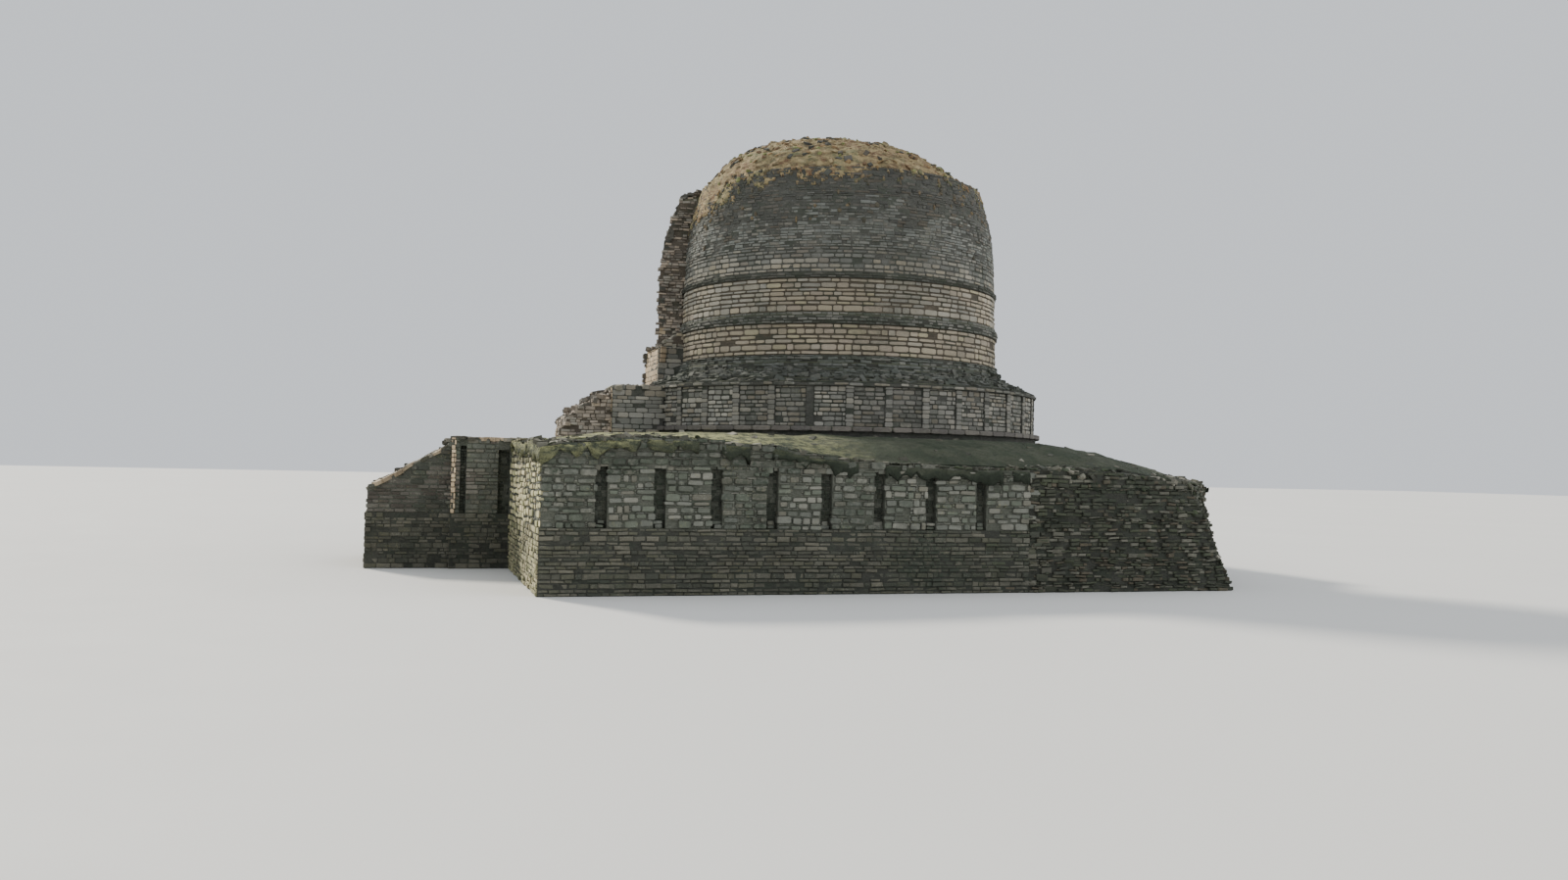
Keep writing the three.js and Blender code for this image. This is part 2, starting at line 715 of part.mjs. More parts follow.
// A ruined rib of the outer masonry, standing against the dome behind its left edge. What
// stands in front of it keeps clear by a turn in degrees.
function ribBody(clear) {
  const levels = RIB_FACE.map(([radius, height], level) => {
    const outer = [];
    const inner = [];
    for (let i = 0; i <= RIB_STEPS; i += 1) {
      const ragged = 1.2 * Math.sin(level * 2.3 + 1);
      const front = i === 0 ? ragged + clear : 0;
      const degrees = RIB_START + front + ((RIB_END - RIB_START) * i) / RIB_STEPS;
      const angle = THREE.MathUtils.degToRad(degrees);
      const fade = 1 - 0.012 * i * i * (i / RIB_STEPS);
      const out = radius * fade + (i === 0 ? 0 : WEAR * wander(angle * 3, height));
      outer.push([Math.cos(angle) * out, Math.sin(angle) * out, height]);
      inner.unshift([Math.cos(angle) * 6000, Math.sin(angle) * 6000, height]);
    }
    return [...outer, ...inner].reverse();
  });
  return lofted(levels);
}

function standingRib() {
  return ribBody(0).subtract(domeClearance());
}

// Stepped masonry left on the block, in front of the rib.
function ribFoot() {
  const outline = [
    [-DOME_CORE, BLOCK_TOP], [-RIB_FOOT_STEPS[0][0], BLOCK_TOP],
    ...RIB_FOOT_STEPS.map(([left, height]) => [-left, height]), [-DOME_CORE, 11420],
  ];
  return upright([...outline].reverse(), RIB_FOOT_FRONT, RIB_FOOT_BACK)
    .subtract(ribBody(RIB_CLEAR))
    .subtract(domeClearance());
}

const stupa = new THREE.Group();
stupa.name = "stupa";

const full = INNER - GAP;
const wide = HALF + FOOTING_OUT;
const stairInner = STAIR_HALF_WIDTH - FLANK;
const upperInner = UPPER_HALF_WIDTH - FLANK;

stupa.add(
  onSide(piece("front_footing", footing(-wide, FACE_END - GAP), footingStone()), 0),
  onSide(piece("right_footing", footing(RIGHT_START + GAP, full), footingStone()), 1),
  onSide(piece("back_footing", footing(-wide, wide), footingStone()), 2),
  onSide(piece("left_footing", footing(-full, full), footingStone()), 3),
  piece("podium_core", podiumCore(), earth()),
  onSide(piece("front_wall", facedWall(FRONT_TOP), podiumStone()), 0),
  onSide(piece("right_wall", facedWall(RIGHT_TOP), podiumStone()), 1),
  onSide(piece("back_wall", facedWall(BACK_TOP), podiumStone()), 2),
  onSide(piece("left_wall_back", facedWall(LEFT_BACK_TOP), podiumStone()), 3),
  onSide(piece("left_wall_front", facedWall(LEFT_FRONT_TOP), podiumStone()), 3),
  piece("fallen_corner", fallenCorner(), cornerRubble()),
  piece("stair_footing", stairFooting(), footingStone()),
  piece("stair_flank_front",
    stairFlank(-STAIR_HALF_WIDTH, -stairInner, -STAIR_HALF_WIDTH), podiumStone()),
  piece("stair_flank_back",
    stairFlank(stairInner, STAIR_HALF_WIDTH, STAIR_HALF_WIDTH), podiumStone()),
  piece("stair_landing", stairLanding(), podiumStone()),
  piece("stair_core", stairCore(), brokenStone()),
  piece("drum_plinth", drumPlinth(), drumStone()),
  piece("drum_wall", drumWall(), drumStone()),
  piece("drum_coping", drumCoping(), drumStone()),
  piece("drum_core", drumCore(), brokenStone()),
  piece("upper_flank_front", upperFlank(-UPPER_HALF_WIDTH, -upperInner), drumStone()),
  piece("upper_flank_back", upperFlank(upperInner, UPPER_HALF_WIDTH), drumStone()),
  piece("upper_stair_core", upperStairCore(), brokenStone()),
  piece("dome_core", domeCore(), brokenStone()),
  piece("dome_berm", zone(BERM_FACE, DOME_CORE, BERM_WEAR), mossyStone()),
  piece("lower_band", zone(LOWER_BAND_FACE, DOME_CORE, BAND_WEAR), ochreStone()),
  piece("lower_string", zone(LOWER_STRING_FACE, DOME_CORE, BAND_WEAR), mossyStone()),
  piece("upper_band", zone(UPPER_BAND_FACE, DOME_CORE, BAND_WEAR), greyBlocks()),
  piece("upper_string", zone(UPPER_STRING_FACE, DOME_CORE, BAND_WEAR), mossyStone()),
  piece("small_courses", zone(SMALL_COURSES_FACE, DOME_CORE, BAND_WEAR), smallStone()),
  piece("dome_rubble", zone(RUBBLE_FACE, DOME_CORE, WEAR), domeRubble()),
  piece("dome_cap", domeCap(), capEarth()),
  piece("foot_block", footBlock(), greyBlocks()),
  piece("rib_foot", ribFoot(), greyBlocks()),
  piece("standing_rib", standingRib(), brokenStone()),
);

for (let step = 0; step < RISERS; step += 1) {
  const name = `tread_${String(step + 1).padStart(2, "0")}`;
  stupa.add(piece(name, tread(step), podiumStone()));
}

export default stupa;
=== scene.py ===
import bisect
import contextlib
import json
import math
import random

import bpy
from mathutils import Matrix, Vector, noise
from mathutils.bvhtree import BVHTree

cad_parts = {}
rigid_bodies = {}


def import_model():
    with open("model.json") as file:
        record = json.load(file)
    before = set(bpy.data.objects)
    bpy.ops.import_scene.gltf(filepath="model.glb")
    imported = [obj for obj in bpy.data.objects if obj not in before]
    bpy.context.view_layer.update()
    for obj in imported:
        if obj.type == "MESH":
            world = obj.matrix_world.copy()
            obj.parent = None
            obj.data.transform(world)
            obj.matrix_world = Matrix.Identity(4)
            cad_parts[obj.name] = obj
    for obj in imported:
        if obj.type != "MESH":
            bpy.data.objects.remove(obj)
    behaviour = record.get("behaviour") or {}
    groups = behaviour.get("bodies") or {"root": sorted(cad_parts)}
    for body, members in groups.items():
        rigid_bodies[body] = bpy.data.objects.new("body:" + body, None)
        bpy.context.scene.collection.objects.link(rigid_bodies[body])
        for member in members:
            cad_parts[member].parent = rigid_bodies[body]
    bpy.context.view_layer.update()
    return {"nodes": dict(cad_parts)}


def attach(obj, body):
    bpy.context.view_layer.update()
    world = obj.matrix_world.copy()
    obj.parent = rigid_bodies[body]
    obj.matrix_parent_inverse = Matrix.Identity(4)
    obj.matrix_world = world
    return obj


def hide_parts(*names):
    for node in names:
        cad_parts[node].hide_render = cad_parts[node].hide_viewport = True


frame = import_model()

# The camera stands low down, a little to the left of the front, as in the photograph.
CAMERA_PLACE = Vector((-21.15, -61.42, 4.64))
CAMERA_HEADING = math.radians(-16.7)
CAMERA_PITCH = math.radians(1.283)
CAMERA_ROLL = math.radians(1.203)
CAMERA_LENS = 29.25

# Podium, in metres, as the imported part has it.
HALF = 16.45
FOOTING_OUT = 0.06
FACE_FROM = 2.4
FACE_END = 2.4
BAY = 2.1
SLOT_HALF = 0.22
SLOT_TOP = 4.65
SLOT_DEPTH = 0.28
SLOTS = 16
INNER = 15.15
RIGHT_START = -7.7
CORNER_TOP = 4.85

# Lower flight, against the left side, and upper flight, up to the top of the drum.
STAIR_HALF = 4.2
FLANK = 0.9
TREAD_HALF = STAIR_HALF - FLANK - 0.01
FLIGHT_MIDDLE = -20.0
STAIR_FOOT = 22.5
LANDING_END = 19.0
LANDING_FLOOR = 5.5
FLANK_TOP = LANDING_FLOOR + 0.22
QUOIN_TOP = LANDING_FLOOR + 0.2
FLANK_FOOT_TOP = 3.5
FIRST_RISER_TOP = 3.28
RISERS = 10
RISER = 0.2
TREAD = 0.345
FLANK_SLOTS = [(-18.68, -18.43), (-17.05, -16.56)]
QUOIN = (-19.06, -18.86)
UPPER_HALF = 2.9
UPPER_BASE = 5.7
UPPER_FOOT = 14.2
UPPER_FACED = 11.9
UPPER_TOP = 8.2
UPPER_MIDDLE = -10.9
UPPER_WALL_TOP = 8.36
UPPER_END_TOP = 8.3
CRACK_FROM = 7.1
CRACK_AT = 0.28
BROKEN_IN = 0.25

# Drum: radii, and the levels of its pieces.
DRUM_RADIUS = 9.83
PILASTER_RADIUS = 9.90
PILASTERS = 36
PILASTER_WIDTH = 0.33
PILASTER_TURN = math.radians(4.45)
LOST_PILASTERS = (24,)
# Panels darker than the rest; 26 and 28, at the middle of the front, are darkened as painted
# shade.
DARK_PANELS = {22: 0.88, 23: 1.0, 25: 0.9, 26: 1.0, 28: 1.04}
MOULDING_RADIUS = 10.0
MOULDING_EDGE = 10.19
MOULDING_STONE_COUNT = 72
MOULDING_LEVEL = 6.395
DRUM_WALL = (6.51, 8.27)
COPING_RADIUS = 9.74
COPING_LEVEL = 8.345

# Dome: the levels of its rings, and what stands beside it.
DOME_RADIUS = 7.9
BERM_RADIUS = 9.0
BERM = (8.43, 9.76)
LOWER_BAND = (9.78, 11.19)
LOWER_STRING = (11.20, 11.71)
UPPER_BAND = (11.73, 13.26)
UPPER_STRING = (13.28, 13.52)
SMALL_COURSES = (13.54, 14.70)
DOME_RUBBLE = (14.71, 18.49)
CAP_FROM = 18.6
BLOCK_SIDE = -9.2
BLOCK = (8.42, 10.52)
BLOCK_TOP = 10.56
RIB_TOP = 18.48
RIB_START = math.radians(172)
RIB_END = math.radians(144)
RIB_RADIUS = 9.0
# The rib's two broken ends: x, y, turn and half width.
RIB_ENDS = ((-8.3, 0.0, RIB_START - math.pi, 1.2), (-6.8, 4.9, RIB_END, 1.4))
RIB_FOOT_TOP = 11.3

# Different stones modelled of each sort, and how deep the large ones are.
KINDS = 8
BLOCK_DEEP = 0.3

# Where the solids are looked at from: well outside them, and well above.
WELL_OUT = 16
WELL_ABOVE = 40

# Earth: the blanket on the podium, the sheet that closes the pocket under the upper
# flight, what is strewn on them, and the cap's skirt and the clods that hang below it.
BLANKET_STEP = 0.19
BLANKET_LEVELS = (4.1, 8)
BLANKET_FROM_AXIS = 9.8
STREWN_FROM_AXIS = 10.3
POCKET_PLACE = (-11.9, 0, 6.12)
POCKET_SIZE = (5.2, 6.2, 1)
POCKET_SLOPE = math.radians(5)
SKIRT_FROM = 15.9
SKIRT_FROM_AXIS = 6.9
HANGING_CLODS = 440

# Quarter turns that carry the front to each side.
FRONT, RIGHT, BACK, LEFT = 0, 1, 2, 3
TO_LEFT = -math.pi / 2

# The walls of the podium: side, start, end and worn top, as (along, height).
WALLS = {
    "front_wall": (FRONT, -HALF, FACE_END, [
        (-16.45, 5.26), (-14.9, 5.47), (-13.5, 5.64), (-11.35, 5.63), (-9.15, 5.44),
        (-7.65, 5.37), (-5.9, 5.04), (-3.8, 4.87), (-1.6, 4.80), (0.5, 4.73), (2.4, 4.77),
    ]),
    "right_wall": (RIGHT, RIGHT_START, HALF, [
        (-7.7, 4.24), (-4.6, 4.66), (-1.2, 4.86), (2.5, 4.80), (6.3, 5.01), (10.2, 4.92),
        (15.15, 4.76),
    ]),
    "back_wall": (BACK, -HALF, HALF, [
        (-16.45, 4.76), (-13.1, 5.04), (-9.3, 5.20), (-4.7, 5.12), (-0.7, 5.33), (4.1, 5.28),
        (8.6, 5.48), (12.7, 5.39), (16.45, 5.18),
    ]),
    "left_wall_back": (LEFT, -HALF, -STAIR_HALF, [
        (-15.15, 5.20), (-12.6, 5.48), (-9.9, 5.61), (-7.3, 5.56), (-4.2, 5.64),
    ]),
    "left_wall_front": (LEFT, STAIR_HALF, HALF, [
        (4.2, 5.64), (7.1, 5.60), (9.7, 5.42), (12.4, 5.52), (15.15, 5.33),
    ]),
}
FOOTING_EDGE = HALF + FOOTING_OUT
FOOTINGS = {
    "front_footing_stones": (FRONT, -FOOTING_EDGE, FACE_END),
    "right_footing_stones": (RIGHT, RIGHT_START, FOOTING_EDGE),
    "back_footing_stones": (BACK, -FOOTING_EDGE, FOOTING_EDGE),
    "left_footing_back_stones": (LEFT, -FOOTING_EDGE, -STAIR_HALF),
    "left_footing_front_stones": (LEFT, STAIR_HALF, FOOTING_EDGE),
}
CORNER_FOOT = [
    (2.4, -16.5), (4.7, -16.48), (7.0, -16.52), (9.4, -16.45), (11.68, -16.38),
    (12.55, -14.9), (13.6, -12.6), (15.0, -10.2), (16.45, -7.7),
]
CORNER_HEAD = [
    (2.4, -16.39), (4.7, -16.25), (7.0, -16.08), (8.8, -15.96), (10.15, -15.7),
    (11.45, -14.2), (12.6, -12.2), (14.2, -9.9), (16.33, -7.7),
]
CORNER_HEIGHT = [4.77, 4.80, 4.70, 4.47, 4.29, 4.30, 4.32, 4.33, 4.23]

# How low the cap's earth comes down the dome, as (degrees round the axis, height).
EARTH_FOOT = [
    (0, 18.3), (100, 18.1), (150, 17.4), (170, 16.9), (183, 16.7), (200, 17.4), (213, 18.0),
    (250, 18.1), (262, 18.5), (300, 18.6), (318, 18.35), (360, 18.3),
]


def linear(red, green, blue):
    """A colour as a mixing value, from the 0 to 255 it is usually written in."""
    def channel(value):
        value /= 255
        return value / 12.92 if value < 0.04045 else ((value + 0.055) / 1.055) ** 2.4
    return (channel(red), channel(green), channel(blue))


def palette(*colours):
    return [linear(*colour) for colour in colours]


GREY_BLOCKS = palette(
    (124, 125, 116), (110, 112, 104), (133, 132, 122), (99, 102, 93), (115, 113, 102),
    (105, 110, 98),
)
# The left side's blocks, painted light: grey blocks as they look in sunlight.
LIT_BLOCKS = palette(
    (196, 190, 150), (180, 176, 136), (206, 196, 158), (160, 158, 118), (186, 176, 140),
)
PACKING_SLABS = palette((108, 109, 101), (96, 98, 89), (118, 117, 107), (100, 103, 91))
FOOTING_RUBBLE = palette(
    (96, 94, 84), (84, 83, 74), (108, 105, 93), (73, 74, 66), (90, 89, 76),
)
CORNER_RUBBLE = palette(
    (81, 82, 70), (70, 72, 61), (62, 64, 54), (93, 86, 73), (75, 79, 64), (112, 110, 99),
)
# Rubble deep in the slots: damp and mossy, and painted dark as the shade in them.
SLOT_RUBBLE = palette((62, 65, 58), (52, 55, 49), (72, 73, 64))
STRING_STONES = palette((104, 103, 98), (92, 93, 88), (116, 114, 107), (82, 84, 77))
BERM_STONES = palette((92, 94, 90), (82, 85, 80), (104, 104, 98), (74, 77, 70))
DRUM_BLOCKS = palette(
    (132, 130, 123), (118, 117, 111), (144, 140, 130), (106, 106, 100), (126, 120, 108),
)
MOULDING_STONES = palette((120, 115, 109), (113, 108, 104), (126, 120, 113))
OCHRE_BLOCKS = palette(
    (159, 149, 130), (153, 143, 125), (155, 145, 128), (163, 153, 132), (146, 137, 122),
    (159, 151, 127), (156, 145, 130), (152, 145, 131),
)
UPPER_BLOCKS = palette(
    (149, 144, 132), (153, 147, 134), (144, 140, 129), (156, 148, 131), (146, 141, 128),
    (138, 135, 126), (152, 148, 137),
)
SMALL_STONES = palette(
    (124, 124, 118), (112, 112, 107), (134, 132, 124), (104, 105, 100), (120, 115, 106),
)
LOWER_RUBBLE = palette(
    (120, 122, 117), (114, 116, 112), (127, 127, 121), (110, 112, 107), (120, 117, 109),
)
UPPER_RUBBLE = palette(
    (89, 89, 85), (83, 83, 79), (97, 94, 88), (78, 78, 75), (94, 88, 79), (85, 86, 80),
)
BROKEN_STONES = palette(
    (140, 130, 119), (126, 117, 107), (156, 143, 128), (110, 103, 95), (134, 129, 120),
)
# Stones painted sunlit, for faces and tops that catch the sun.
LIT_STONES = palette((192, 171, 142), (179, 160, 134), (202, 183, 154))
PALE_STONES = palette((176, 171, 157), (160, 155, 141), (146, 143, 129))
FILL_EARTH = palette((86, 93, 76), (78, 85, 68), (96, 101, 82), (78, 81, 68), (84, 93, 70))
CAP_EARTH = palette(
    (166, 138, 100), (146, 129, 98), (174, 156, 118), (136, 112, 86), (144, 148, 96),
)
HANGING_EARTH = palette(
    (122, 108, 86), (106, 97, 80), (136, 120, 92), (92, 88, 76), (112, 110, 84),
)

MOSS = linear(61, 68, 58)
PALE_LICHEN = linear(150, 150, 136)
YELLOW_LICHEN = linear(148, 142, 96)
DARK_CRUST = linear(58, 57, 50)
OLIVE_EARTH = linear(90, 93, 72)
DARK_OLIVE_EARTH = linear(70, 77, 60)
# Earth of the hanging rim: painted sunlit at the podium's left, painted shade with moss at its
# right.
SUNLIT_RIM_EARTH = linear(98, 102, 84)
SHADED_MOSSY_RIM_EARTH = linear(54, 60, 48)


# Camera, floor and light.

def place_camera():
    bpy.ops.object.camera_add(location=CAMERA_PLACE)
    camera = bpy.context.object
    camera.name = "photo_camera"
    turn = (
        Matrix.Rotation(CAMERA_HEADING, 3, "Z")
        @ Matrix.Rotation(math.pi / 2 + CAMERA_PITCH, 3, "X")
        @ Matrix.Rotation(CAMERA_ROLL, 3, "Z")
    )
    camera.rotation_euler = turn.to_euler()
    camera.data.lens = CAMERA_LENS
    camera.data.sensor_width = 36
    camera.data.clip_end = 2000
    bpy.context.scene.camera = camera


def sun(name, towards, energy, softness, colour):
    bpy.ops.object.light_add(type="SUN", location=(0, 0, 60))
    lamp = bpy.context.object
    lamp.name = name
    lamp.rotation_euler = Vector(towards).to_track_quat("-Z", "Y").to_euler()
    lamp.data.energy = energy
    lamp.data.angle = math.radians(softness)
    lamp.data.color = colour


def light_stage():
    world = bpy.data.worlds.new("studio")
    world.use_nodes = True
    backdrop = world.node_tree.nodes["Background"]
    backdrop.inputs["Color"].default_value = (0.84, 0.88, 0.93, 1)
    backdrop.inputs["Strength"].default_value = 0.98
    bpy.context.scene.world = world
    sun("key_light", (0.37, -0.78, -0.50), 5.0, 9, (1.0, 0.93, 0.80))
    sun("fill_light", (-0.80, 0.32, -0.50), 1.0, 70, (0.99, 0.98, 0.97))
    bpy.ops.mesh.primitive_plane_add(size=900, location=(0, 0, -0.005))
    floor = bpy.context.object
    floor.name = "studio_floor"
    floor.data.materials.append(floor_paint())


# Materials.

class Shader:
    """A material being mixed: its tree, with short ways to add and join nodes."""

    def __init__(self, name):
        self.material = bpy.data.materials.new(name)
        self.material.use_nodes = True
        self.tree = self.material.node_tree
        self.surface = self.tree.nodes["Principled BSDF"]
        self.place = self.add("ShaderNodeTexCoord").outputs["Object"]

    def add(self, kind, **values):
        node = self.tree.nodes.new(kind)
        for key, value in values.items():
            setattr(node, key, value)
        return node

    def join(self, source, target):
        self.tree.links.new(source, target)

    def put(self, socket, value):
        if isinstance(value, tuple):
            socket.default_value = (*value, 1)[:len(socket.default_value)]
        elif isinstance(value, (int, float)):
            socket.default_value = value
        else:
            self.join(value, socket)

    def layered(self, squeeze):
        """The place, squeezed upright, so that a pattern on it lies in level layers."""
        mapping = self.add("ShaderNodeMapping")
        mapping.inputs["Scale"].default_value = (1, 1, squeeze)
        self.join(self.place, mapping.inputs["Vector"])
        return mapping.outputs["Vector"]

    def noise(self, scale, detail=4.0, roughness=0.55, vector=None):
        node = self.add("ShaderNodeTexNoise")
        node.inputs["Scale"].default_value = scale
        node.inputs["Detail"].default_value = detail
        node.inputs["Roughness"].default_value = roughness
        self.join(vector or self.place, node.inputs["Vector"])
        return node.outputs["Fac"]

    def spread(self, source, low, high, to_low, to_high):
        node = self.add("ShaderNodeMapRange")
        for key, value in (
            ("From Min", low), ("From Max", high), ("To Min", to_low), ("To Max", to_high),
        ):
            node.inputs[key].default_value = value
        self.join(source, node.inputs["Value"])
        return node.outputs["Result"]

    def patches(self, scale, low, high, most=1.0, detail=4.0, roughness=0.55):
        """Soft-edged patches, from nought to the most that they cover."""
        return self.spread(self.noise(scale, detail, roughness), low, high, 0, most)

    def combined(self, first, second, operation="MULTIPLY"):
        node = self.add("ShaderNodeMath", operation=operation)
        self.put(node.inputs[0], first)
        self.put(node.inputs[1], second)
        return node.outputs[0]

    def blend(self, amount, under, over):
        node = self.add("ShaderNodeMix", data_type="RGBA")
        self.put(node.inputs["Factor"], amount)
        self.put(node.inputs[6], under)
        self.put(node.inputs[7], over)
        return node.outputs[2]

    def varied(self, colour, source, darkest, lightest):
        """A colour made darker and lighter by a pattern."""
        node = self.add("ShaderNodeVectorMath", operation="SCALE")
        self.put(node.inputs[0], colour)
        self.join(self.spread(source, 0.3, 0.7, darkest, lightest), node.inputs["Scale"])
        return node.outputs[0]

    def attribute(self, name, output="Fac"):
        return self.add("ShaderNodeAttribute", attribute_name=name).outputs[output]

    def axes(self, source):
        node = self.add("ShaderNodeSeparateXYZ")
        self.join(source, node.inputs[0])
        return node.outputs

    def facing_up(self):
        return self.axes(self.add("ShaderNodeNewGeometry").outputs["Normal"])["Z"]

    def finish(self, colour, grain, roughness, height, strength, distance):
        self.join(colour, self.surface.inputs["Base Color"])
        self.join(self.spread(grain, 0.3, 0.7, *roughness), self.surface.inputs["Roughness"])
        self.surface.inputs["Specular IOR Level"].default_value = 0.25
        bump = self.add("ShaderNodeBump")
        bump.inputs["Strength"].default_value = strength
        bump.inputs["Distance"].default_value = distance
        self.join(height, bump.inputs["Height"])
        self.join(bump.outputs["Normal"], self.surface.inputs["Normal"])
        return self.material


def floor_paint():
    shader = Shader("pale_floor")
    colour = shader.varied((0.70, 0.70, 0.68), shader.noise(0.05, 2), 0.97, 1.0)
    grain = shader.noise(0.4, 2)
    return shader.finish(colour, grain, (0.85, 0.95), grain, 0.02, 0.01)


def laid_stone(name, lichen, crust, back_darkening=0.45):
    """Weathered stone whose tone and moss come from each stone that is laid, its sides darker
    towards the back.
    """
    shader = Shader(name)
    layers = shader.noise(5, 5, 0.6, shader.layered(7))
    grain = shader.noise(22, 6, 0.65)
    colour = shader.varied(shader.attribute("tone", "Color"), layers, 0.86, 1.14)
    colour = shader.varied(colour, grain, 0.86, 1.14)
    stains = shader.patches(0.9, 0.5, 0.7, crust, 5, 0.6)
    colour = shader.blend(stains, colour, DARK_CRUST)
    pale = shader.combined(
        shader.patches(2.3, 0.5, 0.62), shader.patches(17, 0.5, 0.6, lichen, 3))
    colour = shader.blend(pale, colour, PALE_LICHEN)
    yellow = shader.combined(
        shader.patches(1.4, 0.55, 0.66), shader.patches(11, 0.5, 0.62, lichen * 0.7))
    colour = shader.blend(yellow, colour, YELLOW_LICHEN)
    growth = shader.combined(
        shader.patches(6, 0.35, 0.6, 1, 6, 0.7), shader.attribute("moss"))
    colour = shader.blend(growth, colour, MOSS)
    rim = shader.spread(shader.attribute("rim"), 0.2, 1, 0, back_darkening)
    colour = shader.blend(rim, colour, DARK_CRUST)
    height = shader.combined(layers, grain, "ADD")
    return shader.finish(colour, grain, (0.82, 0.98), height, 0.55, 0.025)


def packed_earth(name, base, second, dry_and_sunlit_tone, moss_share, on_podium=False):
    """Earth, dry and mossy in patches; on the podium the dry tone is painted sunlight, kept to
    the left part and faint along the front edge, and the hanging rim is painted lit at the left
    and in shade at the right.
    """
    shader = Shader(name)
    clods = shader.noise(3.2, 8, 0.7)
    grit = shader.noise(24, 6, 0.75)
    streaks = shader.noise(2.4, 6, 0.7, shader.layered(2.5))
    colour = shader.blend(shader.patches(0.6, 0.42, 0.58, 1, 6, 0.65), base, second)
    growth = shader.combined(
        shader.patches(1.3, 0.46, 0.6, 1, 6, 0.65), shader.patches(9, 0.35, 0.6, moss_share))
    colour = shader.blend(growth, colour, MOSS)
    dry_and_sunlit = shader.spread(streaks, 0.42, 0.58, 0, 0.9)
    # The dry tone on the podium is painted sunlight: full at the left, gone at the right, faint
    # along the front edge as painted shade on the slope.
    if on_podium:
        across = shader.axes(shader.place)
        wander = shader.spread(shader.noise(0.16, 4), 0.3, 0.7, -2.5, 2.5)
        reach = shader.combined(across["X"], wander, "ADD")
        at_left = shader.spread(reach, -15, -10, 1, 0)
        behind_rim = shader.spread(across["Y"], -16, -14.8, 0.2, 1)
        sunlit_side = shader.combined(
            shader.spread(reach, -9.5, -3.5, 1, 0),
            shader.combined(behind_rim, at_left, "MAXIMUM"))
        dry_and_sunlit = shader.combined(dry_and_sunlit, sunlit_side)
    colour = shader.blend(dry_and_sunlit, colour, dry_and_sunlit_tone)
    # Hanging faces of the rim: painted sunlit at the left, mossy and in painted shade at the
    # right.
    if on_podium:
        hanging = shader.combined(
            shader.spread(shader.facing_up(), 0.25, 0.78, 0.95, 0),
            shader.spread(at_left, 0, 1, 1, 0.65))
        rim = shader.blend(at_left, SHADED_MOSSY_RIM_EARTH, SUNLIT_RIM_EARTH)
        rim = shader.blend(shader.spread(grit, 0.35, 0.65, 0, 1), MOSS, rim)
        colour = shader.blend(hanging, colour, rim)
    colour = shader.varied(colour, clods, 0.72, 1.28)
    colour = shader.varied(colour, grit, 0.7, 1.3)
    height = shader.combined(shader.combined(clods, 2.0), grit, "ADD")
    return shader.finish(colour, grit, (0.88, 1.0), height, 1.0, 0.10)


def laid_earth(name):
    """Mossy clods of earth, each with its own tone."""
    shader = Shader(name)
    lumps = shader.noise(9, 7, 0.72)
    grit = shader.noise(38, 4, 0.7)
    colour = shader.varied(shader.attribute("tone", "Color"), lumps, 0.62, 1.38)
    colour = shader.varied(colour, grit, 0.75, 1.25)
    growth = shader.combined(
        shader.patches(4, 0.38, 0.6, 1, 6, 0.7), shader.attribute("moss"))
    colour = shader.blend(growth, colour, MOSS)
    height = shader.combined(shader.combined(lumps, 2.0), grit, "ADD")
    return shader.finish(colour, grit, (0.9, 1.0), height, 0.9, 0.06)


def joint_earth(name, colour_of_joint, smear, smear_share, ledge_earth=OLIVE_EARTH):
    """The packing between laid stones, smeared over in places, with earth on its ledges."""
    shader = Shader(name)
    crumbs = shader.noise(14, 6, 0.7)
    layers = shader.noise(4, 5, 0.6, shader.layered(8))
    patches = shader.patches(0.8, 0.52, 0.62, smear_share, 4, 0.6)
    colour = shader.blend(patches, colour_of_joint, smear)
    colour = shader.varied(colour, crumbs, 0.72, 1.3)
    colour = shader.varied(colour, layers, 0.8, 1.2)
    colour = shader.blend(shader.patches(1.3, 0.5, 0.62, 0.5, 5), colour, MOSS)
    ledges = shader.spread(shader.facing_up(), 0.35, 0.8, 0, 0.85)
    colour = shader.blend(ledges, colour, shader.varied(ledge_earth, crumbs, 0.65, 1.35))
    height = shader.combined(crumbs, layers, "ADD")
    return shader.finish(colour, crumbs, (0.88, 1.0), height, 0.8, 0.04)


def mix_finishes():
    """The finishes that pieces are laid in; they are called for by name."""
    laid_stone("podium_facing", 0.4, 0.3)
    laid_stone("drum_facing", 0.3, 0.2)
    laid_stone("rough_rubble", 0.25, 0.4, 0.3)
    laid_stone("damp_rubble", 0.12, 0.4, 0.3)
    laid_stone("broken_core_stone", 0.1, 0.4, 0.35)
    laid_stone("dressed_band_stone", 0.2, 0.22)
    laid_earth("mossy_clods")
    laid_earth("dry_clods")
    # On the fill, the pale dry tone is painted sunlight at the podium's left.
    packed_earth("fill_earth", linear(88, 92, 76), linear(70, 78, 62), linear(192, 192, 138),
                 0.5, on_podium=True)
    packed_earth("cap_earth", linear(130, 130, 98), linear(136, 108, 84),
                 linear(190, 171, 128), 0.4)
    joint_earth("podium_joints", linear(88, 90, 81), linear(106, 107, 98), 0.5)
    joint_earth("dark_joints", linear(62, 63, 57), linear(80, 80, 73), 0.5)
    joint_earth("corner_joints", linear(62, 63, 57), linear(80, 80, 73), 0.5,
                DARK_OLIVE_EARTH)
    joint_earth("warm_joints", linear(82, 76, 66), linear(112, 104, 91), 0.3)
    joint_earth("grey_joints", linear(78, 78, 73), linear(104, 104, 98), 0.5)
    joint_earth("brown_joints", linear(92, 85, 76), linear(118, 109, 98), 0.5)


